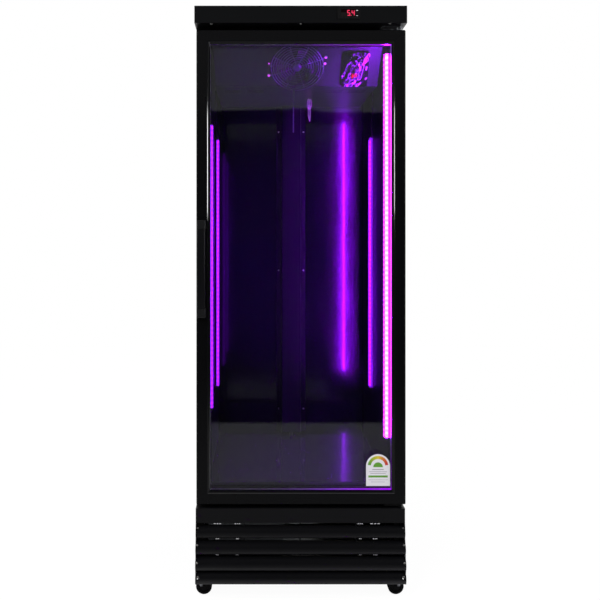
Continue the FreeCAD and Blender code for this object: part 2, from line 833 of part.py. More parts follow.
def make_refrigerant_pipes():
    """Discharge line to the condenser, and the suction line up the chase to the fan coil."""
    top_z = compressor_top_z
    over_z = top_z + pipe_rise
    run_y = condenser_y + condenser_depth / 2
    out_z = bay_floor_z + condenser_height * 0.875
    stub_x, stub_y = compressor_x - stub_shift, compressor_y - stub_shift
    discharge = tube([(stub_x, stub_y, top_z), (stub_x, stub_y, over_z), (stub_x, run_y, over_z),
                      (stub_x, run_y, out_z), (condenser_right, run_y, out_z)], pipe_radius, pipe_bend)
    riser_y = compressor_y + riser_shift
    suction = tube([(pipe_x, riser_y, top_z), (pipe_x, riser_y, over_z), (pipe_x, pipe_y, over_z),
                    (pipe_x, pipe_y, coil_pipe_z), (pipe_x, last_tube_y + tube_radius, coil_pipe_z)],
                   pipe_radius, pipe_bend)
    return [discharge, suction]


def make_drain_tube():
    """Carries melt water behind the back channel to the tray in the bay."""
    z0 = bay_floor_z + drain_foot
    tall = bend_z - z0
    pipe = rod(drain_radius, (0, drain_y, z0), (0, 0, 1), tall)
    return [pipe.cut(bore(drain_radius - drain_wall, (0, drain_y, z0), (0, 0, 1), tall))]


def make_rear_cover():
    """Recessed sheet over the bay's back, with slots and the hole for the gland."""
    x = bay_half
    y = rear_cover_y
    cover = box(-x, x, y - skin_thickness, y, bay_floor_z, box_z)
    cover = cover.fuse(box(-x, x, y, back_y - 2 * skin_thickness - seat_gap, box_z - skin_thickness, box_z))
    pitch = rear_slot_length + rear_slot_gap
    left = -rear_slot_shift - (rear_slot_columns - 1) * pitch / 2 - rear_slot_length / 2
    slots = []
    for i in range(rear_slot_columns):
        for j in range(rear_slot_rows):
            x0 = left + i * pitch
            z0 = bay_floor_z + rear_slot_foot + j * rear_slot_pitch
            slots.append(box(x0, x0 + rear_slot_length, y - skin_thickness - through, y + through,
                             z0, z0 + rear_slot_height))
    hole = bore(gland_thread_radius + seat_gap, (gland_x, y - skin_thickness, gland_z), (0, 1, 0),
                skin_thickness)
    return [cover.cut(Part.makeCompound(slots)).cut(hole)]


def make_cord_gland():
    """Screwed gland through the rear cover, with a six-sided body and its lock nut inside."""
    y0 = rear_cover_y - gland_inside
    outside = rear_cover_recess - through
    thread = rod(gland_thread_radius, (gland_x, y0, gland_z), (0, 1, 0), gland_inside)
    body = many_sided(gland_radius, (gland_x, rear_cover_y, gland_z), (0, 1, 0), outside, 6)
    nut = many_sided(gland_nut_radius, (gland_x, rear_cover_y - skin_thickness - gland_nut, gland_z),
                     (0, 1, 0), gland_nut, 6)
    hole = bore(gland_bore_radius, (gland_x, y0, gland_z), (0, 1, 0), gland_inside + outside)
    return [thread.fuse(body).fuse(nut).cut(hole)]


# ---- Header and controller -----------------------------------------------------------------------

def make_header_panel():
    """Folded hood: return under the front, flat crown, slope down to a flange on the roof."""
    t = header_thickness
    back = body_y - seat_gap
    foot_y = body_y + header_foot * 2
    crest = [(back, header_z), (header_y, header_z), (header_y, header_top_z),
             (header_y + header_crown, header_top_z), (foot_y, roof_z + t)]
    hood = prism_x(folded(crest + [(foot_y + header_foot, roof_z + t)], -t), -side_x, side_x)
    for x0 in (-side_x, side_x - t):
        hood = hood.fuse(prism_x(crest + [(back, roof_z + t)], x0, x0 + t))
    hood = hood.removeSplitter()
    rim = [e for e in hood.Edges if abs(e.CenterOfMass.y - header_y) < 0.01 and e.Length > body_width * 0.9]
    hood = hood.makeFillet(t * 0.9, rim)
    half_w = controller_width / 2 - bezel_lap
    half_h = controller_height / 2 - bezel_lap
    return [hood.cut(box(controller_x - half_w, controller_x + half_w, header_y - through,
                         header_y + controller_depth, controller_z - half_h, controller_z + half_h))]


def make_controller_housing():
    """Bezel on the header's face and the case behind it, with a key well for each button."""
    x, z, y = controller_x, controller_z, header_y
    front = y - bezel_thickness
    bezel = rounded_box(x - controller_width / 2, x + controller_width / 2, front, y,
                        z - controller_height / 2, z + controller_height / 2, bezel_corner, Vector(0, 1, 0))
    half_w = controller_width / 2 - bezel_lap - seat_gap
    half_h = controller_height / 2 - bezel_lap - seat_gap
    case = box(x - half_w, x + half_w, y, y + controller_depth, z - half_h, z + half_h)
    middle = x + window_shift
    recess = box(middle - window_width / 2, middle + window_width / 2, front - through,
                 front + window_recess, z - window_height / 2, z + window_height / 2)
    half_w = button_width / 2 + seat_gap
    half_h = button_height / 2 + seat_gap
    wells = [box(bx - half_w, bx + half_w, front - through, y + key_well, bz - half_h, bz + half_h)
             for bx, bz in button_places]
    return [bezel.fuse(case).cut(recess).cut(Part.makeCompound(wells))]


def make_controller_window():
    x = controller_x + window_shift
    front = header_y - bezel_thickness
    half_w = window_width / 2 - window_gap
    half_h = window_height / 2 - window_gap
    return [box(x - half_w, x + half_w, front + seat_gap, front + window_recess,
                controller_z - half_h, controller_z + half_h)]


def make_button(place):
    """Key that stands proud of the bezel by its travel."""
    x, z = place
    front = header_y - bezel_thickness - button_travel
    back = header_y + key_well - button_travel - window_gap
    return [rounded_box(x - button_width / 2, x + button_width / 2, front, back,
                        z - button_height / 2, z + button_height / 2, button_corner, Vector(0, 1, 0))]


# ---- Hinges --------------------------------------------------------------------------------------

def hinge_leaf(z0, flange_z0):
    """Flat leaf with a round nose over the pivot, and a flange on the body's face."""
    x1 = hinge_x + hinge_nose
    x0 = x1 - hinge_plate_width
    nose = rod(hinge_nose, (hinge_x, hinge_y, z0), (0, 0, 1), hinge_plate)
    leaf = prism_z([(x0 + hinge_plate_chamfer, hinge_y - hinge_nose), (hinge_x, hinge_y - hinge_nose),
                    (x1, hinge_y), (x1, body_y), (x0, body_y), (x0, hinge_y)], z0, z0 + hinge_plate)
    flange = box(x0, x1, body_y - hinge_plate, body_y, flange_z0, z0)
    return leaf.fuse(nose).fuse(flange)


def make_top_hinge_bracket():
    """Plate under the header with the pin that the door's head turns on."""
    z0 = header_z - hinge_plate
    foot = door_top_z + seat_gap
    collar = rod(pivot_radius + collar_wall, (hinge_x, hinge_y, foot), (0, 0, 1), z0 - foot)
    pin = rod(pivot_radius, (hinge_x, hinge_y, door_top_z - pivot_length), (0, 0, 1),
              z0 - door_top_z + pivot_length)
    return [hinge_leaf(z0, z0 - hinge_flange).fuse(collar).fuse(pin).removeSplitter()]


def make_bottom_hinge_bracket():
    """Plate between door and grille; its flange is screwed behind the grille's band."""
    z1 = door_z - lower_hinge_gap
    z0 = z1 - hinge_plate
    collar = rod(pivot_radius + collar_wall, (hinge_x, hinge_y, z1), (0, 0, 1), lower_hinge_gap - seat_gap)
    pin = rod(pivot_radius, (hinge_x, hinge_y, z1), (0, 0, 1), lower_hinge_gap + pivot_length)
    return [hinge_leaf(z0, z0 - lower_hinge_flange).fuse(collar).fuse(pin).removeSplitter()]


# ---- Door ----------------------------------------------------------------------------------------

def frame_profile():
    """Section of the door frame: u from the outer edge inwards, v from the face backwards."""
    u1 = frame_reach - glass_edge_lap
    v1 = glass_recess - seat_gap
    crown = Vector(frame_face + frame_bead * 0.72, bead_depth * 0.36, 0)
    bead = Part.Arc(Vector(frame_face, 0, 0), crown, Vector(frame_reach, bead_depth, 0)).toShape()
    back = glass_recess + 2 * glass_thickness + glass_air_gap + bead_back_lip
    edge = frame_bead / 4
    points = [(frame_reach, bead_depth), (frame_reach, v1), (u1, v1), (u1, back),
              (frame_reach - edge, back), (frame_reach - edge, door_thickness - back_chamfer),
              (frame_face, door_thickness), (0, door_thickness), (0, edge), (edge, 0), (frame_face, 0)]
    lines = [Part.LineSegment(Vector(*a, 0), Vector(*b, 0)).toShape() for a, b in zip(points, points[1:])]
    return Part.Face(Part.Wire([bead] + lines))


def mitred_bar(length):
    """Frame member along Z with both ends mitred and a hollow chamber between its corner keys."""
    bar = frame_profile().extrude(Vector(0, 0, length))
    key = frame_reach + frame_key
    chamber = box(frame_wall, frame_reach - glass_edge_lap - frame_wall, frame_wall,
                  door_thickness - frame_wall, key, length - key)
    reach = frame_reach + through
    y0, y1 = -through, door_thickness + through
    for end, inward in ((0, 1), (length, -1)):
        tip = end + inward * reach
        corner = face_of([Vector(0, y0, end), Vector(reach, y0, end), Vector(reach, y0, tip)])
        bar = bar.cut(corner.extrude(Vector(0, y1 - y0, 0)))
    return bar.cut(chamber)


def frame_bar(length, corner, angle):
    """Mitred member stood at its corner of the door, with the door's outer corners rounded off."""
    bar = mitred_bar(length)
    bar.Placement = Placement(Vector(*corner), Rotation(Vector(0, 1, 0), angle))
    outline = rounded_box(door_left, door_right, face_y - through, door_back_y + through,
                          door_z, door_top_z, frame_corner_radius, Vector(0, 1, 0))
    radius = pivot_radius + running_gap + bush_wall
    depth = pivot_length + bush_flange + through
    holes = [rod(radius, (hinge_x, hinge_y, z - up * through), (0, 0, up), depth + through)
             for z, up in ((door_z, 1), (door_top_z, -1))]
    return bar.common(outline).cut(Part.makeCompound(holes))


def make_door_stiles():
    tall = door_top_z - door_z
    return [frame_bar(tall, (door_left, face_y, door_z), 0),
            frame_bar(tall, (door_right, face_y, door_top_z), 180)]


def make_door_rails():
    return [frame_bar(door_width, (door_right, face_y, door_z), -90),
            frame_bar(door_width, (door_left, face_y, door_top_z), 90)]


def make_pane(y):
    return [box(door_left + pane_inset, door_right - pane_inset, y, y + glass_thickness,
                door_z + pane_inset, door_top_z - pane_inset)]


def make_glass_spacer():
    """Spacer bars between the panes, seen as a dark band inside the frame's bead."""
    return ring_slab(door_left + pane_inset, door_right - pane_inset, door_z + pane_inset,
                     door_top_z - pane_inset, glass_y + glass_thickness, inner_glass_y, spacer_width)


def make_door_gasket():
    """Magnetic seal in four strips behind the frame."""
    return ring_slab(-gasket_x, gasket_x, door_z + gasket_margin - gasket_foot_drop,
                     ceiling_z - gasket_top_margin, door_back_y, body_y - seat_gap, gasket_width)


def make_pivot_bushes():
    """Plastic bushes, closed at one end, that the hinge pins turn in."""
    inner = pivot_radius + running_gap
    bushes = []
    for z, up in ((door_z, 1), (door_top_z, -1)):
        bush = rod(inner + bush_wall, (hinge_x, hinge_y, z), (0, 0, up), pivot_length + bush_flange)
        hole = rod(inner, (hinge_x, hinge_y, z - up * through), (0, 0, up), pivot_length + 2 * through)
        bushes.append(bush.cut(hole))
    return bushes


def make_handle_mounts():
    """End blocks on the stile, with rounded outer corners."""
    front = face_y - handle_reach + handle_bow
    blocks = []
    for z0 in (handle_z, handle_z + handle_length - handle_block):
        block = box(handle_x, handle_x + handle_width, front, face_y, z0, z0 + handle_block)
        outer = [e for e in block.Edges if e.CenterOfMass.y < front + 0.01]
        blocks.append(block.makeFillet(handle_round, outer))
    return blocks


def make_handle_grip():
    """Bar that bows forward between the blocks."""
    z0 = handle_z + handle_block
    z1 = handle_z + handle_length - handle_block
    crest = face_y - handle_reach
    y0 = crest + handle_bow + handle_bar_inset
    mid = (z0 + z1) / 2
    x = handle_x + handle_bar_inset
    front = Part.Arc(Vector(x, y0, z0), Vector(x, crest, mid), Vector(x, y0, z1)).toShape()
    back = Part.Arc(Vector(x, y0 + handle_bar, z1), Vector(x, crest + handle_bar, mid),
                    Vector(x, y0 + handle_bar, z0)).toShape()
    top = Part.LineSegment(Vector(x, y0, z1), Vector(x, y0 + handle_bar, z1)).toShape()
    foot = Part.LineSegment(Vector(x, y0 + handle_bar, z0), Vector(x, y0, z0)).toShape()
    section = Part.Face(Part.Wire([front, top, back, foot]))
    bar = section.extrude(Vector(handle_width - 2 * handle_bar_inset, 0, 0))
    long_edges = [e for e in bar.Edges if e.Length > (z1 - z0) * 0.95]
    return [bar.makeChamfer(handle_bar_chamfer, long_edges)]


# ---- Grille --------------------------------------------------------------------------------------

def louvre_rows():
    """Nose, top and height of each louvre; the last one reaches down to the grille's foot."""
    rows = []
    top = grille_top_z - grille_band - louvre_gap
    for i, nose in enumerate(louvre_noses):
        height = louvre_height if i < len(louvre_noses) - 1 else top - grille_clearance
        rows.append((nose, top, height))
        top -= height + louvre_gap
    return rows


def louvre_outline(nose, top, height):
    """Curved blade: its top edge lies back, its nose stands forward, its foot tucks under."""
    arcs = []
    for inset in (0, louvre_thickness):
        head = Vector(0, face_y + louvre_rake, top - inset)
        crest = Vector(0, face_y - nose + inset, top - height * louvre_crest)
        foot = Vector(0, face_y - nose + louvre_tuck + inset * 0.8, top - height + inset * 0.5)
        arcs.append((head, crest, foot))
    outer, inner = arcs
    return Part.Face(Part.Wire([Part.Arc(*outer).toShape(),
                                Part.LineSegment(outer[2], inner[2]).toShape(),
                                Part.Arc(*inner[::-1]).toShape(),
                                Part.LineSegment(inner[0], outer[0]).toShape()]))


def louvre_edge(steps):
    """Front edge of a cheek or a rib, stepping forward with the louvres."""
    return [(face_y - nose * share + back, top - height * drop)
            for nose, top, height in louvre_rows() for share, back, drop in steps]


def make_front_grille():
    """Moulded grille: a flat band, four louvres that step forward, three ribs and end cheeks."""
    half = grille_width / 2
    wall = grille_wall
    back = body_y - seat_gap
    band_z = grille_top_z - grille_band
    band = prism_x(folded([(body_y - hinge_plate - edge_gap, grille_top_z), (face_y, grille_top_z),
                           (face_y, band_z), (face_y + louvre_rake, band_z)], wall), -half, half)
    blades = []
    for row in louvre_rows():
        blade = louvre_outline(*row)
        blade.translate(Vector(-half, 0, 0))
        blades.append(blade.extrude(Vector(grille_width, 0, 0)))
    notch_y = caster_y_front - fork_sweep - caster_swing_gap
    side = [(back, grille_top_z), (face_y, grille_top_z), (face_y, band_z)] + louvre_edge(cheek_steps)
    side += [(notch_y, grille_clearance), (notch_y, bay_floor_z + seat_gap), (back, bay_floor_z + seat_gap)]
    cheeks = [prism_x(side, x0, x0 + wall) for x0 in (-half, half - wall)]
    deep = face_y + grille_rib_depth
    tail = face_y + grille_rib_tail
    rib = [(tail, grille_clearance + wall), (tail, chassis_z + grille_rib_foot),
           (deep, chassis_z + grille_rib_foot), (deep, band_z + edge_gap),
           (face_y + wall - edge_gap, band_z + edge_gap)] + louvre_edge(rib_steps)
    ribs = []
    for i in range(grille_ribs):
        x = (i - (grille_ribs - 1) / 2) * grille_rib_pitch
        ribs.append(prism_x(rib, x - grille_rib_thickness / 2, x + grille_rib_thickness / 2))
    seat_y = face_y - grille_boss_reach
    bosses, spots = [], []
    for x in (-grille_screw_x, grille_screw_x):
        bosses.append(many_sided(grille_boss_radius, (x, seat_y, grille_screw_z), (0, 1, 0),
                                 chassis_front - seat_y - seat_gap, screw_sides))
        spots.append(rod(grille_boss_radius, (x, seat_y, grille_screw_z), (0, -1, 0), louvre_rake))
    grille = band.multiFuse(blades + cheeks + ribs + bosses).cut(Part.makeCompound(spots))
    return [grille.removeSplitter()]


# ---- Evaporator, its cover and the fan -----------------------------------------------------------

def make_evaporator_cover():
    """Folded cover under the ceiling: flange, slope with the fan's mouth, pan, rear flange, cheeks."""
    t = cover_thickness
    w = cover_half_width
    fold_y = body_y + cover_setback + t / math.tan(slope)
    line = [(fold_y - cover_flange, ceiling_z - t), (fold_y, ceiling_z - t), (bend_y, bend_z),
            (liner_y - t, bend_z), (liner_y - t, bend_z + cover_flange)]
    sheet = prism_x(folded(line, t), -w, w)
    side = [(fold_y, ceiling_z), (fold_y, ceiling_z - t), (bend_y, bend_z), (liner_y - 2 * t, bend_z),
            (liner_y - 2 * t, ceiling_z)]
    for x0 in (-w, w - t):
        sheet = sheet.fuse(prism_x(side, x0, x0 + t))
    mouth = fan_radius + tip_gap
    lip = on_slope(rod(mouth + t, (0, fan_slope_height, 0), (0, 0, 1), mouth_lip))
    half = cover_slot_length / 2
    slots = [box(x - half, x + half, bend_y + y, bend_y + y + cover_slot_width,
                 bend_z - through, bend_z + t + through)
             for x in cover_slot_columns for y in cover_slot_rows]
    n = 2 * mouth_lip
    spindle_hole = rod(knob_shaft + edge_gap, (knob_x, knob_slope_height, -n), (0, 0, 1), 2 * n)
    openings = [on_slope(rod(mouth, (0, fan_slope_height, -n), (0, 0, 1), 2 * n)), on_slope(spindle_hole),
                on_slope(rocker_well(edge_gap, -n, n)),
                bore(drain_radius + seat_gap, (0, drain_y, bend_z), (0, 0, 1), t)]
    sheet = sheet.fuse(lip).cut(Part.makeCompound(slots))
    for opening in openings:
        sheet = sheet.cut(opening)
    return [sheet]


def rocker_well(extra, n0, n1):
    """Hole for the rocker, drawn on the level."""
    half_w, half_l = [half + extra for half in rocker_well_half]
    return box(knob_x - half_w, knob_x + half_w, rocker_slope_height - half_l, rocker_slope_height + half_l,
               n0, n1)


def make_fan_guard():
    """Welded wire guard: rings over spokes, a centre disc, and two ears for its screws."""
    w = 2 * guard_wire
    n0 = guard_standoff
    n1 = n0 + w - guard_sink
    sides = guard_ring_sides
    parts = [many_sided(guard_inner_ring + guard_wire, (0, 0, n1), (0, 0, 1), w, sides)]
    for i in range(1, guard_rings):
        radius = guard_inner_ring + (guard_radius - guard_inner_ring) * i / (guard_rings - 1)
        outer = many_sided(radius + guard_wire, (0, 0, n1), (0, 0, 1), w, sides)
        parts.append(outer.cut(many_sided(radius - guard_wire, (0, 0, n1 - through), (0, 0, 1),
                                          w + 2 * through, sides)))
    leg = guard_radius + guard_leg
    for i in range(guard_spokes):
        angle = i * 360.0 / guard_spokes
        eared = angle % 180 == 0
        tip = leg if eared else guard_radius
        spoke = box(guard_inner_ring - through, tip, -guard_wire, guard_wire, n0, n0 + w)
        if eared:
            spoke = spoke.fuse(box(leg - w, leg, -guard_wire, guard_wire, 0, n0))
            spoke = spoke.fuse(box(leg - w, guard_ear + guard_leg, -guard_ear_half, guard_ear_half, 0, w))
        spoke.rotate(Vector(0, 0, 0), Vector(0, 0, 1), angle + guard_turn)
        parts.append(spoke)
    guard = parts[0].multiFuse(parts[1:]).removeSplitter()
    guard.translate(Vector(0, fan_slope_height, 0))
    return [on_slope(guard)]


def make_evaporator_fan():
    rotor = fan_rotor(fan_radius, fan_hub_radius, fan_depth)
    rotor.translate(Vector(0, fan_slope_height, rotor_back))
    return [on_slope(rotor)]


def make_evaporator_fan_motor():
    """Motor behind the rotor, on a bar riveted behind the mouth."""
    t = fan_slope_height
    n0 = rotor_back - motor_gap
    bar_n = n0 - motor_length / 4
    motor = rod(motor_radius, (0, t, n0 - motor_length), (0, 0, 1), motor_length)
    shaft = rod(fan_shaft, (0, t, n0), (0, 0, 1), fan_depth)
    reach = fan_radius + tip_gap + motor_bar_gap
    foot = reach + motor_bar_foot
    line = [(-foot, -cover_thickness), (-reach, -cover_thickness), (-reach, bar_n), (reach, bar_n),
            (reach, -cover_thickness), (foot, -cover_thickness)]
    half = motor_bar_width / 2
    outline = folded(line, -motor_bar_thickness)
    bar = face_of([Vector(x, t - half, n) for x, n in outline]).extrude(Vector(0, 2 * half, 0))
    return [on_slope(motor.fuse(shaft).fuse(bar))]


def make_evaporator_coil():
    """Fin pack hung from the ceiling, with a hairpin at its left end and a header behind."""
    z0 = ceiling_z - coil_height
    pack = fin_pack(-coil_half, coil_half, coil_y, coil_back_y, z0, ceiling_z, coil_core)
    half_x, half_z = coil_header_half
    header = box(pipe_x - half_x, pipe_x + half_x, last_tube_y - tube_radius, last_tube_y + tube_radius,
                 coil_pipe_z - half_z, coil_pipe_z + half_z)
    return [pack.fuse(header)] + hairpins(-coil_half, (coil_y + coil_back_y) / 2, [z0 + coil_height / 2])


# ---- Controls on the slope -----------------------------------------------------------------------

def make_control_plate():
    """Moulded plate on the slope, with the knob's bore and the rocker's well."""
    plate = rounded_box(plate_left, plate_left + plate_width, plate_foot, plate_foot + plate_length,
                        0, plate_thickness, plate_corner, Vector(0, 0, 1))
    spindle = bore(knob_shaft + running_gap, (knob_x, knob_slope_height, 0), (0, 0, 1), plate_thickness)
    reach = rocker_length / 2 + rocker_pin_reach + seat_gap
    start = (knob_x, rocker_slope_height - reach, rocker_pivot)
    pin = rod(rocker_pin + running_gap, start, (0, 1, 0), 2 * reach)
    well = rocker_well(0, -through, plate_thickness + through)
    return [on_slope(plate.cut(spindle).cut(well).cut(pin))]


def make_rocker_switch():
    """Rocker on a cross pin, resting pressed on one side."""
    w = rocker_width / 2
    half_l = rocker_length / 2
    crown = plate_thickness - rocker_pivot + rocker_rise
    rise = w * math.tan(math.radians(rocker_throw))
    shoulder = (crown + rise * 0.4, -rise - rocker_pin)
    outline = [(-w, shoulder[1]), (0, shoulder[1] - rocker_pin), (w, shoulder[1]), (w, shoulder[0]),
               (0, crown - rocker_rise / 2), (-w, shoulder[0])]
    body = face_of([Vector(x, -half_l, z) for x, z in outline]).extrude(Vector(0, rocker_length, 0))
    reach = half_l + rocker_pin_reach
    rocker = body.fuse(rod(rocker_pin, (0, -reach, 0), (0, 1, 0), 2 * reach))
    rocker.rotate(Vector(0, 0, 0), Vector(0, 1, 0), rocker_throw)
    rocker.translate(Vector(knob_x, rocker_slope_height, rocker_pivot))
    return [on_slope(rocker)]


def make_thermostat_knob():
    """Flat-sided knob on a round skirt, with a raised pointer and its spindle."""
    base = plate_thickness + seat_gap
    grip = knob_radius - knob_skirt
    axis = (knob_x, knob_slope_height)
    skirt = rod(knob_radius, (*axis, base), (0, 0, 1), knob_skirt)
    body = many_sided(grip, (*axis, base), (0, 0, 1), knob_height, knob_sides)
    half = pointer_width / 2
    pointer = box(knob_x - half, knob_x + half, knob_slope_height + knob_skirt,
                  knob_slope_height + grip - edge_gap, base + knob_height - edge_gap,
                  base + knob_height + edge_gap)
    spindle = rod(knob_shaft, (*axis, -rocker_pivot), (0, 0, 1), base + rocker_pivot + knob_skirt)
    return [on_slope(skirt.fuse(body).fuse(pointer).fuse(spindle))]


# ---- Back channel, probe and lamps ---------------------------------------------------------------

def make_duct_cover():
    """Hat-section cover over the drain and the leads on the back wall."""
    front = liner_y - channel_depth
    root = channel_half_width + channel_flare
    line = [(-channel_foot_half_width, liner_y), (-root, liner_y), (-channel_half_width, front),
            (channel_half_width, front), (root, liner_y), (channel_foot_half_width, liner_y)]
    return [prism_z(folded(line, -skin_thickness), channel_z, channel_top)]


def make_probe_lead():
    """Lead along the pan's underside and down the channel's face to its bulb."""
    z = bend_z - probe_radius - seat_gap
    y = liner_y - channel_depth - skin_thickness - probe_radius - seat_gap
    low = bend_z - probe_drop
    x0, x1 = -probe_drift * 0.7, probe_drift
    lead = tube([(x0, bend_y + probe_drift, z), (x0, y, z), (x1 / 3, y, z - probe_drop * 0.3), (x1, y, low)],
                probe_radius, probe_bend)
    bulb = rod(probe_bulb_radius, (x1, y - probe_bulb_radius / 2, low - probe_bulb_length + through),
               (0, 0, 1), probe_bulb_length)
    return [lead.fuse(bulb)]


def lamp_places():
    """Middle y, foot and head of each strip, with the side of the cabinet that it is on."""
    front = body_y + lamp_front_inset
    rear = liner_y - lamp_rear_inset
    low, high = floor_z + lamp_foot, ceiling_z - lamp_head
    return [(front, floor_z + long_lamp_foot, ceiling_z - long_lamp_head, 1), (front, low, high, -1),
            (rear, low, high, 1), (rear, low, high, -1)]


def make_lamp_channels():
    """Aluminium base of each strip, with end caps."""
    x0 = inner_x - lamp_base
    half = lamp_width / 2
    bases = []
    for y, z0, z1, side in lamp_places():
        base = box(x0, inner_x, y - half, y + half, z0, z1)
        for z in (z0, z1 - lamp_cap):
            base = base.fuse(box(x0 - lamp_dome - edge_gap, x0, y - half, y + half, z, z + lamp_cap))
        bases.append(base if side > 0 else mirror_x(base))
    return bases


def make_lamp_diffusers():
    """Clear rounded cover over the diodes."""
    x0 = inner_x - lamp_base
    half = lamp_width / 2 - edge_gap
    domes = []
    for y, z0, z1, side in lamp_places():
        z = z0 + lamp_cap
        ends = Vector(x0, y - half, z), Vector(x0, y + half, z)
        arc = Part.Arc(ends[0], Vector(x0 - lamp_dome, y, z), ends[1]).toShape()
        section = Part.Face(Part.Wire([arc, Part.LineSegment(ends[1], ends[0]).toShape()]))
        dome = section.extrude(Vector(0, 0, z1 - z0 - 2 * lamp_cap))
        domes.append(dome if side > 0 else mirror_x(dome))
    return domes


def make_lamp_leads():
    """Leads from the three short strips' heads up behind the cover or the throat."""
    leads = []
    for y, z0, z1, side in lamp_places():
        if z1 > bend_z:
            continue
        behind_throat = y < bend_y
        high = ceiling_z - throat_drop - lamp_lead_radius if behind_throat else bend_z + lamp_lead_tuck
        place = (side * (inner_x - lamp_lead_radius - seat_gap), y + lamp_lead_shift * behind_throat, z1)
        leads.append(rod(lamp_lead_radius, place, (0, 0, 1), high - z1))
    return leads


# ---- Screws --------------------------------------------------------------------------------------

def make_panel_screws():
    """Pan heads on the back channel, the slope, the header, the hinge and the grille."""
    flange_x = (channel_half_width + channel_foot_half_width) / 2 + channel_flare
    low, high = channel_z + channel_screw_foot, channel_top - channel_screw_head
    face = liner_y - skin_thickness
    heads = [screw((x, face, z), (0, -1, 0))
             for x in (-flange_x, flange_x) for z in (low, (low + high) / 2, high)]
    for turn in (guard_turn, guard_turn + 180):
        a = math.radians(turn)
        heads.append(screw(slope_point(guard_ear * math.cos(a), fan_slope_height + guard_ear * math.sin(a),
                                       2 * guard_wire), slope_out))
    strap = fan_radius + tip_gap + 2 * motor_bar_gap
    heads += [screw(slope_point(x, fan_slope_height, 0), slope_out) for x in (-strap, strap)]
    heads.append(screw(slope_point(knob_x, plate_foot + plate_screw_height, plate_thickness), slope_out))
    outer = side_x - header_screw_inset
    heads += [screw((x, header_y + header_screw_setback, header_z), (0, 0, -1)) for x in (-outer, 0, outer)]
    heads += [screw((hinge_x - i * hinge_screw_pitch, hinge_y + hinge_screw_pitch, header_z - hinge_plate),
                    (0, 0, -1)) for i in (1, 2)]
    heads += [screw((x, face_y - grille_boss_reach, grille_screw_z), (0, -1, 0))
              for x in (-grille_screw_x, grille_screw_x)]
    return heads


# ---- Casters -------------------------------------------------------------------------------------

def make_caster_stem(x, y):
    """Top plate, race and swivel pin with its riveted head."""
    s = caster_plate_size / 2
    half = min(s, side_x - abs(x) - edge_gap / 2)
    plate = box(x - half, x + half, y - s, y + s, chassis_z - caster_plate, chassis_z)
    race = many_sided(race_radius, (x, y, race_z), (0, 0, 1), race_height, crown_sides)
    foot = crown_top - crown_thickness - caster_head
    pin = rod(caster_pin_radius, (x, y, foot), (0, 0, 1), race_z - foot + through)
    head = many_sided(caster_head_radius, (x, y, foot), (0, 0, 1), caster_head - running_gap, crown_sides)
    return plate.fuse(race).fuse(pin).fuse(head)


def caster_places():
    return [("front_left", -1, caster_y_front), ("front_right", 1, caster_y_front),
            ("rear_left", -1, caster_y_rear), ("rear_right", 1, caster_y_rear)]


def make_caster_stems():
    return [make_caster_stem(side * stem_x, y) for name, side, y in caster_places()]


def make_caster_fork(side, y):
    """Pressed fork: crown under the race, two tapered cheeks, and the axle."""
    t = fork_thickness
    half = fork_half_width - t
    x_stem, x_wheel = side * stem_x, side * wheel_x
    x_front, x_back = x_stem - side * fork_front, x_stem + side * fork_back
    z0 = crown_top - crown_thickness
    fork = many_sided(crown_radius, (x_stem, y, z0), (0, 0, 1), crown_thickness, crown_sides)
    fork = fork.fuse(box(min(x_front, x_back), max(x_front, x_back), y - half - t, y + half + t,
                         z0, crown_top))
    outline = [(x_back, crown_top)] + [(x_wheel + side * x, z) for x, z in fork_cheek]
    outline += [(x_front, z0), (x_front, crown_top)]
    for y0 in (y - half - t, y + half):
        fork = fork.fuse(prism_y(outline, y0, y0 + t))
    fork = fork.cut(bore(caster_pin_radius + running_gap, (x_stem, y, z0), (0, 0, 1), crown_thickness))
    reach = half + t + axle_head
    axle = rod(axle_radius, (x_wheel, y - reach, wheel_radius), (0, 1, 0), 2 * reach)
    return [fork.cut(axle), axle]


def make_caster_wheel(side, y):
    """Solid tyre with dished sides round a hub bored for the axle."""
    half = wheel_width / 2
    place = (side * wheel_x, y, wheel_radius)
    wheel = rod(wheel_radius, (place[0], y - half + tyre_set, wheel_radius), (0, 1, 0),
                wheel_width - 2 * tyre_set)
    for out in (-1, 1):
        start = (place[0], y + out * (half - hub_dish), wheel_radius)
        wheel = wheel.cut(many_sided(wheel_radius - tyre_depth, start, (0, out, 0), hub_dish + through,
                                     crown_sides))
    start = (place[0], y - half, wheel_radius)
    wheel = wheel.fuse(many_sided(hub_radius, start, (0, 1, 0), wheel_width, crown_sides))
    return [wheel.cut(bore(axle_radius + running_gap, start, (0, 1, 0), wheel_width))]


# ---- The part ------------------------------------------------------------------------------------

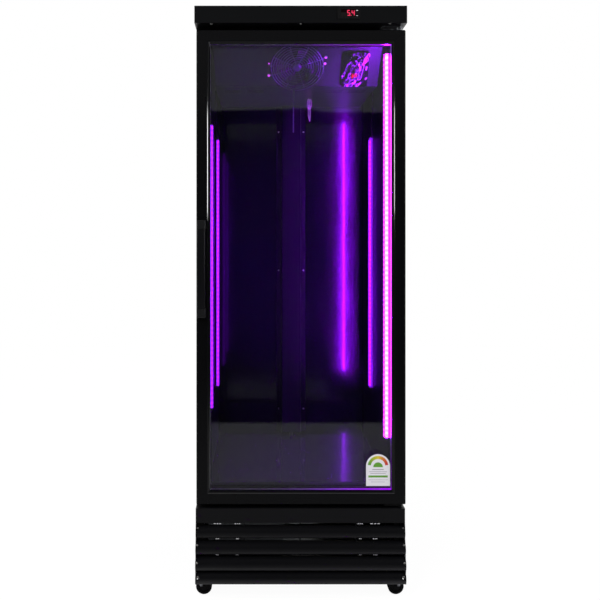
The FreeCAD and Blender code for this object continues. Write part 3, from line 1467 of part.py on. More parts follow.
def make_nodes():
    nodes = {
        "side_panels": make_side_panels(),
        "back_panel": make_back_panel(),
        "roof_panel": make_roof_panel(),
        "foam_core": make_foam_core(),
        "liner_sides": make_liner_sides(),
        "liner_back": make_liner_back(),
        "liner_floor": make_liner_floor(),
        "liner_ceiling": make_liner_ceiling(),
        "breaker_frame": make_breaker_frame(),
        "chassis": make_chassis(),
        "compressor": make_compressor(),
        "condenser_coil": make_condenser_coil(),
        "condenser_shroud": make_condenser_shroud(),
        "condenser_fan_motor": make_condenser_fan_motor(),
        "condenser_fan": make_condenser_fan(),
        "drip_tray": make_drip_tray(),
        "refrigerant_pipes": make_refrigerant_pipes(),
        "drain_tube": make_drain_tube(),
        "rear_cover": make_rear_cover(),
        "cord_gland": make_cord_gland(),
        "front_grille": make_front_grille(),
        "header_panel": make_header_panel(),
        "controller_housing": make_controller_housing(),
        "controller_window": make_controller_window(),
        "controller_button_up": make_button(button_places[0]),
        "controller_button_down": make_button(button_places[1]),
        "top_hinge_bracket": make_top_hinge_bracket(),
        "bottom_hinge_bracket": make_bottom_hinge_bracket(),
        "evaporator_cover": make_evaporator_cover(),
        "evaporator_coil": make_evaporator_coil(),
        "fan_guard": make_fan_guard(),
        "evaporator_fan": make_evaporator_fan(),
        "evaporator_fan_motor": make_evaporator_fan_motor(),
        "control_plate": make_control_plate(),
        "thermostat_knob": make_thermostat_knob(),
        "rocker_switch": make_rocker_switch(),
        "duct_cover": make_duct_cover(),
        "probe_lead": make_probe_lead(),
        "lamp_channels": make_lamp_channels(),
        "lamp_diffusers": make_lamp_diffusers(),
        "lamp_leads": make_lamp_leads(),
        "panel_screws": make_panel_screws(),
        "door_stiles": make_door_stiles(),
        "door_rails": make_door_rails(),
        "glass_outer": make_pane(glass_y),
        "glass_inner": make_pane(inner_glass_y),
        "glass_spacer": make_glass_spacer(),
        "door_gasket": make_door_gasket(),
        "pivot_bushes": make_pivot_bushes(),
        "handle_mounts": make_handle_mounts(),
        "handle_grip": make_handle_grip(),
        "caster_stems": make_caster_stems(),
    }
    for name, side, y in caster_places():
        nodes["caster_fork_" + name] = make_caster_fork(side, y)
        nodes["caster_wheel_" + name] = make_caster_wheel(side, y)
    return nodes


def main():
    os.makedirs("parts", exist_ok=True)
    for name, solids in make_nodes().items():
        shape = solids[0] if len(solids) == 1 else Part.makeCompound(solids)
        count = len(shape.Solids)
        print(name, count, "solids", round(shape.Volume / 1000.0, 1), "cm3", shape.isValid())
        shape.exportStep(os.path.join("parts", name + ".step"))


main()
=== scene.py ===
import json
import math

import bmesh
import bpy
from bpy.props import FloatProperty, FloatVectorProperty, IntProperty, PointerProperty
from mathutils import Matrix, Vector


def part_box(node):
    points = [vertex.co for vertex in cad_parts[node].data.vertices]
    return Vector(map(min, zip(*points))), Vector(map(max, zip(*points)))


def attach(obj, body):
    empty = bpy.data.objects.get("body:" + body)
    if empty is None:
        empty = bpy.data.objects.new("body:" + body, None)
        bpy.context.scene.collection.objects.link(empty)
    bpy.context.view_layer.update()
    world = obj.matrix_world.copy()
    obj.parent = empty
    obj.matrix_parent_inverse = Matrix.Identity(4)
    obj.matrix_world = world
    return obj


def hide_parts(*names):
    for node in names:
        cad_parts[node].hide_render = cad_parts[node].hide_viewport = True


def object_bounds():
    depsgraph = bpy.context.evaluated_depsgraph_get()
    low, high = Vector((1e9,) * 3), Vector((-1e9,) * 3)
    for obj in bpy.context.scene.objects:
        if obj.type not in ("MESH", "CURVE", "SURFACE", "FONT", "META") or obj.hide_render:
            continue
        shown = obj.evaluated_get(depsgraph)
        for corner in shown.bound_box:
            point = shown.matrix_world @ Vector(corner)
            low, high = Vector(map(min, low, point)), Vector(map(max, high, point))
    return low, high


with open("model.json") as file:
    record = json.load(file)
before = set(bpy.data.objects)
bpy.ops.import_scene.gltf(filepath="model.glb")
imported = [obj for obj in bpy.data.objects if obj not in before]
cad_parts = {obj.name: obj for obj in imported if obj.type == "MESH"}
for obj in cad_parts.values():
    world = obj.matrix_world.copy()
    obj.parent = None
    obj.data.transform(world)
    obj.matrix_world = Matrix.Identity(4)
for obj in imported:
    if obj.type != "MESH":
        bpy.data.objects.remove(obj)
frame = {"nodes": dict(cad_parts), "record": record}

bl_info = {
    "name": "Glass-door display cooler",
    "version": (1, 0, 0),
    "blender": (4, 5, 0),
    "location": "3D View > Sidebar > Cooler",
    "description": "Finishes and small parts of an upright glass-door cooler with violet lamp strips",
    "category": "Object",
}

# Lengths are in metres.
MM = 0.001
ALONG_X = (0, math.radians(90), 0)  # turns a piece made along Z
ALONG_Y = (math.radians(90), 0, 0)
CAD_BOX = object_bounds()
SLOT_OF = {part["node"]: part["material_slot"] for part in frame["record"]["subparts"]}
FACE_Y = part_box("door_stiles")[0].y  # the door's face
FOLD_Y = -0.077  # where the cover's 45 degree slope starts
FOLD_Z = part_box("evaporator_cover")[0].z
LINER_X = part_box("lamp_channels")[1].x  # the liner's side
GASKET_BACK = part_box("door_gasket")[0].y

SPACER_WIDTH = 0.0062  # the spacer's upright bars
SPACER_RAIL = 0.0042  # its bars along the rails are shallower
SPACER_JOINT = 0.0001  # between those bars at the corners
PAINTED_GLOW_REACH = 0.27  # the painted glow along the rails ends this far left of the middle and is full this far right
PAINTED_EDGE_GLOW = 1.05
BEAD_INSET = 0.0335  # bead's outer edge, from the door's edge

FORK_LIT_EDGE = 0.307  # the forks are painted lit beyond this X and above this Z, with painted shade elsewhere
FORK_LIT_TOP = 0.028
FORK_SHADE_FADE = 0.003

GUARD_UP = 0.078  # fan's centre up the cover's slope
GUARD_RADIUS = 0.0875
GUARD_HUB = 0.014
GUARD_SPOKES = 8
GUARD_TURN = math.radians(20)  # first spoke, from the level line
GUARD_STANDOFF = 0.0092
GUARD_DOME = 0.0012
GUARD_LEG = 0.004
GUARD_EAR, GUARD_EAR_OUT = 0.0048, 0.009  # a screw ear's radius, and its centre beyond the leg
GUARD_DISC = 0.0024  # thickness of the disc in the middle
GUARD_SCREWS = ((-0.0949, 0.0884, 0.0030), (-0.0947, 0.0434, 0.0042), (0.0942, 0.1116, 0.0042),
                (0.0930, 0.0885, 0.0042))  # x, up the slope, radius

PROBE_X = -0.0094
PROBE_END = 1.484  # height of the tube's lower end
PROBE_RADIUS, COLLAR_RADIUS, COLLAR = 0.0023, 0.0040, 0.008  # the last is the collar's length
BUNDLE_X, BUNDLE_Y = 0.0617, 0.134
BUNDLE_LOOPS = ((-0.0035, 0.019, 0.0045, 0.018), (0.0015, 0.018, 0.0048, 0.017),
                (0.0050, 0.016, 0.0036, 0.015), (-0.0015, 0.050, 0.0040, 0.022),
                (0.0010, 0.056, 0.0034, 0.024))  # shift, drop from the fold, half width, half height

KNOB_X, KNOB_UP = 0.1935, 0.103  # knob's axis on the slope
KNOB_FOOT = 0.0083  # knob's foot off the slope
KNOB_RADIUS = 0.014
KNOB_SIDES = 48
PLATE_FACE = 0.008
DIAL_DOTS = 11
DIAL_RADIUS = 0.0188
DIAL_START, DIAL_STEP = -135, 27  # degrees from the top

FIGURE_WIDTH, FIGURE_HEIGHT, FIGURE_STROKE = 0.0094, 0.0176, 0.0025
# Bars of a figure as side, level and lying or not: top, upper left, upper right, middle, lower left,
# lower right, bottom
FIGURE_BARS = ((0, 1, True), (-1, 0.5, False), (1, 0.5, False), (0, 0, True), (-1, -0.5, False),
               (1, -0.5, False), (0, -1, True))
FIGURES = ((0.0205, (0, 1, 3, 5, 6)), (0.0068, (1, 2, 3, 5)))  # from the lens's edge, lit bars
POINT_FROM_EDGE, POINT_RADIUS = 0.0136, 0.0013

GRILLE_SCREW_INSET = 0.0055
GRILLE_SCREWS = (0.2182, 0.1696, 0.1187)  # heights
GRILLE_CLIPS = ((0.2304, -0.3045, 1.0), (0.1846, -0.3070, 0.45), (0.1368, -0.3110, 0.4))
# height, y, share of length
CLIP_PLACES = ((-0.258, 0.024), (-0.196, 0.018), (0.186, 0.018), (0.232, 0.032))  # x, length
CLIP_PARTS = ((-0.33, 0.26), (0.02, 0.2), (0.36, 0.24))  # middle and length, as shares of the clip's

LABEL_BOX = (0.205, 0.280, 0.347, 0.446)  # left, right, bottom, top
LABEL_STEPS = 11
LABEL_INK = 0.0001  # thickness of the print, as drawn
BOW_INNER, BOW_OUTER = 0.0225, 0.0318
BOW_START, BOW_SPAN = math.radians(173), math.radians(166)
HUB_RADIUS, HUB_DROP = 0.0150, 0.003
LABEL_BARS = ((0.3735, 0.030, 0.0062), (0.3590, 0.022, 0.0010), (0.3655, 0.030, 0.0010),
              (0.3850, 0.024, 0.0014), (0.3905, 0.028, 0.0014), (0.3970, 0.018, 0.0022))
# height, half width, thickness; the first is the coloured band

LAMP_REACH = 0.0145  # a lamp cover's crown, from the liner's side
DIODE_PITCH = 0.016  # between the diodes of a strip
DIODE_HALF = (0.002, 0.0042)  # half depth and half height of a diode
LAMP_GLOW = 2.7  # rear strips and the front left one
STRONG_LAMP_GLOW = 240.0  # front right strip

CAMERA_BACK, CAMERA_X, CAMERA_Z = 2.08, -0.1297, 1.119  # first: before the door's face
CAMERA_SHIFT = (0.069, -0.103)  # frames the whole cabinet
CARD_REACH = 3.2  # how far the grey cards lie before the face
DARK_REACH = 1.83
DARK_TOP, PEAK_TOP, PEAK_X = 1.862, 1.880, 0.16
SOFTBOX_X, SOFTBOX_LOW, SOFTBOX_HIGH, SOFTBOX_GLOW = 2.3, 1.28, 1.95, 26.0


# ---- Colour and nodes ----

def linear(code):
    """sRGB hex code to linear colour with alpha 1."""
    values = [int(code[i:i + 2], 16) / 255 for i in (1, 3, 5)]
    return [v / 12.92 if v <= 0.04045 else ((v + 0.055) / 1.055) ** 2.4 for v in values] + [1.0]


def add(tree, kind, links=(), **settings):
    """Add a node, set its attributes or sockets by name, and link its inputs to sockets or nodes. A
    socket's colour may be given as a hex code."""
    item = tree.nodes.new(kind)
    for name, value in settings.items():
        if name.startswith("in_"):
            key = name[3:]
            socket = item.inputs[int(key) if key.isdigit() else key.replace("_", " ")]
            socket.default_value = linear(value) if isinstance(value, str) else value
        else:
            setattr(item, name, value)
    for socket, source in dict(links).items():
        tree.links.new(getattr(source, "outputs", [source])[0], item.inputs[socket])
    return item


def maths(tree, operation, *values):
    """Math node on sockets, nodes or numbers."""
    links = {i: value for i, value in enumerate(values) if not isinstance(value, float)}
    numbers = {"in_%d" % i: value for i, value in enumerate(values) if isinstance(value, float)}
    return add(tree, "ShaderNodeMath", links, operation=operation, **numbers)


def ramp(tree, value, start, end, low=0.0, high=1.0):
    """Spread a value from start to end over low to high."""
    return add(tree, "ShaderNodeMapRange", {"Value": value}, in_From_Min=start, in_From_Max=end,
               in_To_Min=low, in_To_Max=high)


def blend(tree, share, first, second):
    return add(tree, "ShaderNodeMixShader", {"Fac": share, 1: first, 2: second})


def axes(tree, kind="Object"):
    """X, Y and Z of the object's coordinates, or of its normal."""
    place = add(tree, "ShaderNodeTexCoord").outputs[kind]
    return add(tree, "ShaderNodeSeparateXYZ", {"Vector": place}).outputs


def new_material(name):
    material = bpy.data.materials.new(name)
    material.use_nodes = True
    material.node_tree.nodes.clear()
    return material, material.node_tree


def shader_of(tree):
    return next(node for node in tree.nodes if node.type == "BSDF_PRINCIPLED")


def closed(material, surface):
    """The material, with this surface as its output."""
    add(material.node_tree, "ShaderNodeOutputMaterial", {"Surface": surface})
    return material


def coated(name, colour, roughness, grain_mm, grain_depth_mm, shade, metallic=0.0, ior=1.5,
           roughness_span=0.06, stretch=(1, 1, 1)):
    """Surface with a fine grain: colour and roughness vary a little, and the grain lifts the normal."""
    material, tree = new_material(name)
    place = add(tree, "ShaderNodeTexCoord").outputs["Object"]
    scaled = add(tree, "ShaderNodeMapping", {"Vector": place}, in_Scale=stretch)
    grain = add(tree, "ShaderNodeTexNoise", {"Vector": scaled}, in_Scale=1.0 / (grain_mm * MM),
                in_Detail=3.0, in_Roughness=0.55)
    cloud = add(tree, "ShaderNodeTexNoise", {"Vector": place}, in_Scale=6.0, in_Detail=2.0)
    darker, lighter = [[min(1, c * share) for c in linear(colour)[:3]] + [1.0]
                       for share in (1 - shade, 1 + shade)]
    tone = add(tree, "ShaderNodeMix", {"Factor": cloud}, data_type="RGBA", in_A=darker, in_B=lighter)
    half = roughness_span / 2
    rough = ramp(tree, cloud, 0.0, 1.0, roughness - half, roughness + half)
    bump = add(tree, "ShaderNodeBump", {"Height": grain}, in_Strength=0.35, in_Distance=grain_depth_mm * MM)
    shader = add(tree, "ShaderNodeBsdfPrincipled",
                 {"Base Color": tone.outputs["Result"], "Roughness": rough, "Normal": bump},
                 in_Metallic=metallic, in_IOR=ior)
    return closed(material, shader)


# ---- Modelling ----

def deselect():
    bpy.ops.object.select_all(action="DESELECT")


def choose(obj):
    """Make this the one selected and active object."""
    deselect()
    obj.select_set(True)
    bpy.context.view_layer.objects.active = obj


def settle(obj):
    """Put the piece's place, turn and scale into its mesh."""
    choose(obj)
    bpy.ops.object.transform_apply(location=True, rotation=True, scale=True)
    return obj


def block(low, high):
    """Box from one corner to the other."""
    deselect()
    low, high = Vector(low), Vector(high)
    bpy.ops.mesh.primitive_cube_add(size=1.0, location=(low + high) / 2, scale=high - low)
    return settle(bpy.context.object)


def drum(centre, radius, depth, sides=24, turn=(0, 0, 0), stretch=(1, 1, 1), cone=None):
    """Cylinder along its own Z, turned and stretched; cone is the radius of its far end."""
    deselect()
    bpy.ops.mesh.primitive_cone_add(vertices=sides, radius1=radius, radius2=radius if cone is None else cone,
                                    depth=depth, location=centre, rotation=turn, scale=stretch)
    return settle(bpy.context.object)


def ring(centre, radius, wire, steps=64):
    """Round wire bent to a level circle."""
    deselect()
    bpy.ops.mesh.primitive_torus_add(location=centre, major_radius=radius, minor_radius=wire,
                                     major_segments=steps, minor_segments=8)
    return settle(bpy.context.object)


def pick_faces(obj, test):
    """Open the piece for editing with only the faces that pass the test selected."""
    choose(obj)
    bpy.ops.object.mode_set(mode="EDIT")
    bpy.ops.mesh.select_mode(type="FACE")
    bpy.ops.mesh.select_all(action="DESELECT")
    shell = bmesh.from_edit_mesh(obj.data)
    for face in shell.faces:
        face.select_set(test(face))
    bmesh.update_edit_mesh(obj.data)


def close_edit():
    bpy.ops.object.mode_set(mode="OBJECT")


def cut_away(obj, point, normal):
    """Cut the piece by a plane, drop what lies on the normal's side and cap the cut."""
    choose(obj)
    bpy.ops.object.mode_set(mode="EDIT")
    bpy.ops.mesh.select_all(action="SELECT")
    bpy.ops.mesh.bisect(plane_co=point, plane_no=normal, use_fill=True, clear_outer=True)
    close_edit()
    return obj


def modify(obj, kind, **settings):
    """Add a modifier with these settings and apply it."""
    choose(obj)
    modifier = obj.modifiers.new(kind.lower(), kind)
    for name, value in settings.items():
        setattr(modifier, name, value)
    bpy.ops.object.modifier_apply(modifier=modifier.name)
    return obj


def soften(obj, width, segments=2, angle=30):
    """Round the sharp edges."""
    return modify(obj, "BEVEL", width=width, segments=segments, limit_method="ANGLE",
                  angle_limit=math.radians(angle), harden_normals=False)


def copy_of(obj, move):
    """Copy with its own mesh, moved."""
    twin = obj.copy()
    twin.data = obj.data.copy()
    bpy.context.scene.collection.objects.link(twin)
    twin.location = Vector(move)
    return settle(twin)


def joined(parts):
    """All the parts as one mesh."""
    choose(parts[0])
    for part in parts[1:]:
        part.select_set(True)
    if len(parts) > 1:
        bpy.ops.object.join()
    return bpy.context.view_layer.objects.active


def dress(obj, name, look, body="cabinet", smooth=40):
    """Name the piece, shade it, give it its finish and let it ride on its body."""
    obj.name = name
    choose(obj)
    bpy.ops.object.shade_smooth_by_angle(angle=math.radians(smooth))
    obj.data.materials.clear()
    obj.data.materials.append(finish(look))
    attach(obj, body)
    return obj


# ---- Finishes ----
# Each finish is named for the real material. The comment says what that gives the eye.

# Colour, roughness, grain and its depth in millimetres, shade, and what else coated() takes
COATED = {
    # Baked powder coat on sheet steel: deep black, semi-gloss, with a slight orange peel
    "powder_coat_black": ("#090a0c", 0.30, 2.6, 0.05, 0.08, {"ior": 1.38}),
    # Formed gloss ABS sheet on the long side walls, drawn thinner and duller in the forming
    "satin_abs_liner": ("#0a080d", 0.42, 3.0, 0.04, 0.08, {"ior": 1.24}),
    # The liner's floor: the same sheet pressed flat, so it mirrors more sharply than the walls
    "gloss_floor_sheet": ("#29252c", 0.07, 34.0, 0.3, 0.05, {"ior": 1.38, "roughness_span": 0.01}),
    # Pre-painted steel sheet of the air duct: satin, nearly black
    "satin_duct_sheet": ("#0b0a0e", 0.4, 3.0, 0.03, 0.05, {"ior": 1.42}),
    # Extruded aluminium, black anodised: dark with faint lines along the extrusion
    "anodised_black_aluminium": ("#08080a", 0.27, 1.2, 0.02, 0.05, {"ior": 1.35, "stretch": (1, 1, 0.02)}),
    # Injection-moulded ABS with a fine spark texture: satin blue-black
    "moulded_abs_satin": ("#0c0c0f", 0.36, 1.4, 0.05, 0.07, {"ior": 1.38}),
    # Injection-moulded ABS, dull: takes no clear reflection
    "moulded_abs_black": ("#0a0a0c", 0.48, 1.6, 0.04, 0.06, {"ior": 1.53}),
    # Polished-tool ABS: black with a clear highlight
    "gloss_abs_black": ("#0b0b0d", 0.07, 14.0, 0.35, 0.04, {"ior": 1.53, "roughness_span": 0.02}),
    # Glass-filled nylon: dark grey with a slightly mottled skin
    "glass_filled_nylon": ("#141416", 0.42, 2.2, 0.08, 0.12, {"ior": 1.53}),
    # Bright zinc plate on pressed steel: pale blue-grey metal with a soft cloudy sheen
    "zinc_plated_steel": ("#a3a6ac", 0.30, 3.2, 0.05, 0.14, {"metallic": 1.0, "roughness_span": 0.16}),
    # Stove enamel on the compressor shell: black with a hard gloss
    "stove_enamel_black": ("#0a0a0a", 0.22, 2.4, 0.06, 0.05, {}),
    # Thin aluminium fin sheet: pale metal
    "fin_stock_aluminium": ("#9a9da2", 0.34, 2.0, 0.05, 0.10, {"metallic": 1.0, "roughness_span": 0.12}),
    # Grey lacquer on a pressed motor can
    "painted_motor_steel": ("#333437", 0.35, 2.0, 0.05, 0.08, {}),
    # Drawn copper tube: warm red metal with dull, slightly browned patches
    "drawn_copper": ("#b87356", 0.30, 4.0, 0.04, 0.16, {"metallic": 1.0, "roughness_span": 0.18}),
    # Enamel on the folded sheet of the sloped cover: very dark grey with a soft reflection
    "gloss_grey_enamel": ("#1b1a20", 0.36, 30.0, 0.1, 0.05, {}),
    # Chromed wire: pale metal that draws the lamps along each ring
    "chromed_guard_wire": ("#9c94b2", 0.30, 4.0, 0.02, 0.05, {"metallic": 1.0}),
    # Extruded EPDM: matte black with a dry bloom
    "epdm_rubber": ("#101011", 0.62, 2.4, 0.05, 0.15, {}),
    # Hard solid tyre rubber: near black and matt
    "hard_wheel_rubber": ("#08080a", 0.6, 1.8, 0.1, 0.2, {"ior": 1.22}),
    # Rigid polyurethane foam: cream yellow with fine cells
    "rigid_foam": ("#d8c690", 0.85, 1.6, 0.3, 0.1, {}),
    # Smoked red acrylic over the display: nearly black, with a clear reflection
    "smoked_acrylic_lens": ("#0d0506", 0.07, 8.0, 0.002, 0.0, {"ior": 1.49, "roughness_span": 0.02}),
    # Pad-printed white paint: clean and slightly satin
    "white_paint": ("#d9dadd", 0.4, 1.0, 0.01, 0.03, {}),
    # Coated white paper: bright, with a low sheen
    "sticker_paper": ("#e3e1e6", 0.45, 1.0, 0.01, 0.02, {}),
    # Grey print on the sticker
    "grey_ink": ("#8d8b93", 0.45, 1.0, 0.01, 0.03, {}),
    # Ivory PVC sheath of the probe's lead: reads grey in the violet light
    "pale_lead_sheath": ("#d3d8b2", 0.5, 1.6, 0.04, 0.1, {}),
    # Bright tin-plated spring steel clips, placed as painted glints: small pale marks under the louvres
    "clip_painted_glint": ("#e6e6ea", 0.35, 1.2, 0.02, 0.1, {}),
    # Polished black bead: dark, with a hard narrow highlight along its ridge
    "gloss_bead": ("#0a0a0c", 0.10, 2.0, 0.005, 0.03, {"ior": 1.55, "roughness_span": 0.02}),
    # Clear anodised aluminium channel behind the lamps: pale metal, lined along its length
    "anodised_channel": ("#77777d", 0.32, 1.6, 0.02, 0.06, {"metallic": 1.0, "stretch": (1, 1, 0.03)}),
    # Zinc-plated screw heads: small pale points
    "zinc_screw_steel": ("#d6d5d3", 0.40, 1.2, 0.02, 0.12, {"metallic": 1.0}),
}

# Colour, roughness, index of refraction, and the glow's colour and strength
GLOWING = {
    # Red tinted polycarbonate rocker: saturated, glossy, slightly lit from within
    "rocker_polycarbonate": ("#b3161b", 0.16, 1.58, "#ff1c22", 0.16),
    # Clear epoxy over a violet diode, glowing as painted light for the strong strip's fringes: a bright
    # pink-violet spot
    "diode_painted_glow": ("#e9b0ff", 0.2, 1.5, "#ff5cff", 1.1),
    # White circuit ribbon with a painted glow for the diodes' light on it: flat magenta
    "ribbon_painted_glow": ("#b060ff", 0.45, 1.5, "#ff08f6", 0.95),
    # Red diode bars behind a smoked lens: saturated, a little pink where they burn out
    "red_diode_figures": ("#5a0a12", 0.2, 1.49, "#ff3a66", 1.0),
    # White nylon dome caps with a painted pink glow that stands in for the lamp's glint on them
    "nylon_cap_painted_glint": ("#b9a6c4", 0.35, 1.53, "#f04cff", 1.3),
}


def glowing(name, colour, roughness, ior, glow, strength):
    """Smooth plastic that also gives light."""
    material, tree = new_material(name)
    shader = add(tree, "ShaderNodeBsdfPrincipled", in_Base_Color=colour, in_Roughness=roughness,
                 in_IOR=ior, in_Emission_Color=glow, in_Emission_Strength=strength)
    return closed(material, shader)


def waves(tree, stretch, scale, depth):
    """Long smooth waves in a sheet's surface, as a bump."""
    place = add(tree, "ShaderNodeTexCoord").outputs["Object"]
    tall = add(tree, "ShaderNodeMapping", {"Vector": place}, in_Scale=stretch)
    noise = add(tree, "ShaderNodeTexNoise", {"Vector": tall}, in_Scale=scale, in_Detail=0.0)
    return add(tree, "ShaderNodeBump", {"Height": noise}, in_Strength=1.0, in_Distance=depth)


def gloss_abs_liner():
    """Vacuum-formed gloss ABS sheet: near black, mirror-like, with long low waves from the forming."""
    material, tree = new_material("gloss_abs_liner")
    place = add(tree, "ShaderNodeTexCoord").outputs["Object"]
    peel = add(tree, "ShaderNodeTexNoise", {"Vector": place}, in_Scale=260.0, in_Detail=2.0)
    long = waves(tree, (1.0, 1.0, 0.55), 15.0, 0.0006)
    fine = add(tree, "ShaderNodeBump", {"Height": peel, "Normal": long}, in_Strength=0.25,
               in_Distance=0.00004)
    shader = add(tree, "ShaderNodeBsdfPrincipled", {"Normal": fine}, in_Base_Color="#0e0c12",
                 in_Roughness=0.15, in_IOR=1.5, in_Coat_Weight=0.35, in_Coat_Roughness=0.05)
    return closed(material, shader)


def dull_zinc_fork():
    """Zinc plate on the caster forks with painted light and shade: bright on the outer crowns, a painted dark
    shade elsewhere.
    """
    material = coated("dull_zinc_fork", "#9a9ba0", 0.45, 2.4, 0.06, shade=0.2, metallic=1.0)
    tree = material.node_tree
    shader = shader_of(tree)
    lit_zinc = shader.inputs["Base Color"].links[0].from_socket
    x, y, z = axes(tree)
    outer, upper = [ramp(tree, value, edge - FORK_SHADE_FADE, edge + FORK_SHADE_FADE)
                    for value, edge in ((maths(tree, "ABSOLUTE", x), FORK_LIT_EDGE), (z, FORK_LIT_TOP))]
    lit_share = maths(tree, "MULTIPLY", outer, upper)
    # Painted shade: flat dark grey wherever the fork is not painted lit
    tone = add(tree, "ShaderNodeMix", {"Factor": lit_share, "B": lit_zinc}, data_type="RGBA", in_A="#19191a")
    tree.links.new(tone.outputs["Result"], shader.inputs["Base Color"])
    return material


def wavy_control_face():
    """Thin polished ABS plate, a little wavy: dark, with the lamp drawn over it in broken streaks."""
    material, tree = new_material("wavy_control_face")
    shader = add(tree, "ShaderNodeBsdfPrincipled", {"Normal": waves(tree, (1.0, 0.7, 0.7), 75.0, 0.0007)},
                 in_Base_Color="#100e14", in_Roughness=0.035, in_IOR=1.45)
    return closed(material, shader)


def float_glass():
    """Clear float glass: seen through, with a reflection that grows towards grazing. Its thin metal
    film lets less of the room's light in than the eye sees through it."""
    material, tree = new_material("float_glass")
    path = add(tree, "ShaderNodeLightPath")
    clear = add(tree, "ShaderNodeBsdfTransparent", in_Color=(0.97, 0.98, 0.985, 1))
    film = add(tree, "ShaderNodeBsdfTransparent", in_Color=(0.82, 0.82, 0.82, 1))
    shine = add(tree, "ShaderNodeBsdfGlossy", in_Color=(1, 1, 1, 1), in_Roughness=0.015)
    edge = add(tree, "ShaderNodeFresnel", in_IOR=1.45)
    pane = blend(tree, edge, clear, shine)
    unseen = maths(tree, "MAXIMUM", path.outputs["Is Shadow Ray"], path.outputs["Is Diffuse Ray"])
    return closed(material, blend(tree, unseen, pane, film))


def frosted_lamp_cover():
    """Extruded frosted acrylic over a row of violet diodes: brightest over each diode, paler where the
    light is strong, so that the strip by the door's hinge burns out to near white."""
    material, tree = new_material("frosted_lamp_cover")
    x, y, z = axes(tree)
    diode = ramp(tree, maths(tree, "PINGPONG", z, DIODE_PITCH / 2), 0.0, DIODE_PITCH / 2, 1.35, 0.55)
    strong = maths(tree, "MULTIPLY", maths(tree, "LESS_THAN", y, 0.0), maths(tree, "GREATER_THAN", x, 0.0))
    glow = maths(tree, "MULTIPLY", ramp(tree, strong, 0.0, 1.0, LAMP_GLOW, STRONG_LAMP_GLOW), diode)
    shader = add(tree, "ShaderNodeBsdfPrincipled", {"Emission Strength": glow},
                 in_Base_Color="#a050ff", in_Roughness=0.3, in_IOR=1.49,
                 in_Emission_Color=(0.29, 0.0042, 1.0, 1.0))
    return closed(material, shader)


def warm_edge_spacer():
    """Stainless warm-edge spacer in clear sealant: dull metal that only mirrors the inside, with a painted
    violet glow on its upward and downward faces standing in for the lamps' light along the panes' upper and
    lower edges, brightest towards the strong lamp's side."""
    material = coated("warm_edge_spacer", "#f0eaff", 0.46, 1.4, 0.02, shade=0.05, metallic=1.0)
    tree = material.node_tree
    share = ramp(tree, axes(tree)[0], -PAINTED_GLOW_REACH, PAINTED_GLOW_REACH)
    level = maths(tree, "ABSOLUTE", axes(tree, "Normal")[2])
    lit = maths(tree, "MULTIPLY", maths(tree, "POWER", share, 4.0), level)
    glow = maths(tree, "MULTIPLY", lit, PAINTED_EDGE_GLOW)
    shader = shader_of(tree)
    # Painted light: the spacer glows violet though it is no lamp
    shader.inputs["Emission Color"].default_value = linear("#ab00ff")
    tree.links.new(glow.outputs[0], shader.inputs["Emission Strength"])
    return material


def sticker_ink(share):
    """Finish of the print, from green through yellow to red as share goes from 0 to 1."""
    stops = ((0x5f, 0x9e, 0x2e), (0xd8, 0xc2, 0x2a), (0xc8, 0x2a, 0x24))
    place = share * (len(stops) - 1)
    first = min(int(place), len(stops) - 2)
    mix = [round(a + (b - a) * (place - first)) for a, b in zip(stops[first], stops[first + 1])]
    code = "%02x%02x%02x" % tuple(mix)
    COATED["sticker_ink_" + code] = ("#" + code, 0.45, 1.0, 0.01, 0.03, {})
    return "sticker_ink_" + code


# Finishes with a tree of their own
DRAWN = {make.__name__: make for make in (gloss_abs_liner, dull_zinc_fork, wavy_control_face, float_glass,
                                          frosted_lamp_cover, warm_edge_spacer)}

# The finish of each material slot
FINISHES = {
    "black_steel": "powder_coat_black",
    "foam": "rigid_foam",
    "liner": "gloss_abs_liner",
    "throat_plastic": "moulded_abs_black",
    "zinc_steel": "zinc_plated_steel",
    "black_enamel": "stove_enamel_black",
    "coil_metal": "fin_stock_aluminium",
    "motor_metal": "painted_motor_steel",
    "fan_plastic": "glass_filled_nylon",
    "tray_plastic": "moulded_abs_black",
    "copper": "drawn_copper",
    "grille_plastic": "moulded_abs_satin",
    "controller_plastic": "moulded_abs_black",
    "display_lens": "smoked_acrylic_lens",
    "cover_metal": "gloss_grey_enamel",
    "guard_wire": "chromed_guard_wire",
    "plate_plastic": "wavy_control_face",
    "knob_plastic": "gloss_abs_black",
    "rocker_red": "rocker_polycarbonate",
    "lead_rubber": "epdm_rubber",
    "lamp_aluminium": "anodised_channel",
    "lamp_diffuser": "frosted_lamp_cover",
    "screw_steel": "zinc_screw_steel",
    "door_aluminium": "anodised_black_aluminium",
    "door_glass": "float_glass",
    "gasket_rubber": "epdm_rubber",
    "handle_plastic": "moulded_abs_satin",
    "wheel_rubber": "hard_wheel_rubber",
}

# Nodes whose finish differs from the rest of their slot
OWN_FINISH = {
    "bottom_hinge_bracket": "powder_coat_black",
    "liner_sides": "satin_abs_liner",
    "handle_mounts": "glass_filled_nylon",
    "liner_floor": "gloss_floor_sheet",
    "duct_cover": "satin_duct_sheet",
    **{node: "dull_zinc_fork" for node in SLOT_OF if node.startswith("caster_fork_")},
}


def finish(name):
    """The material of that finish, made once."""
    found = bpy.data.materials.get(name)
    if found:
        return found
    if name in COATED:
        *look, more = COATED[name]
        return coated(name, *look, **more)
    if name in GLOWING:
        return glowing(name, *GLOWING[name])
    return DRAWN[name]()


# ---- Operators ----

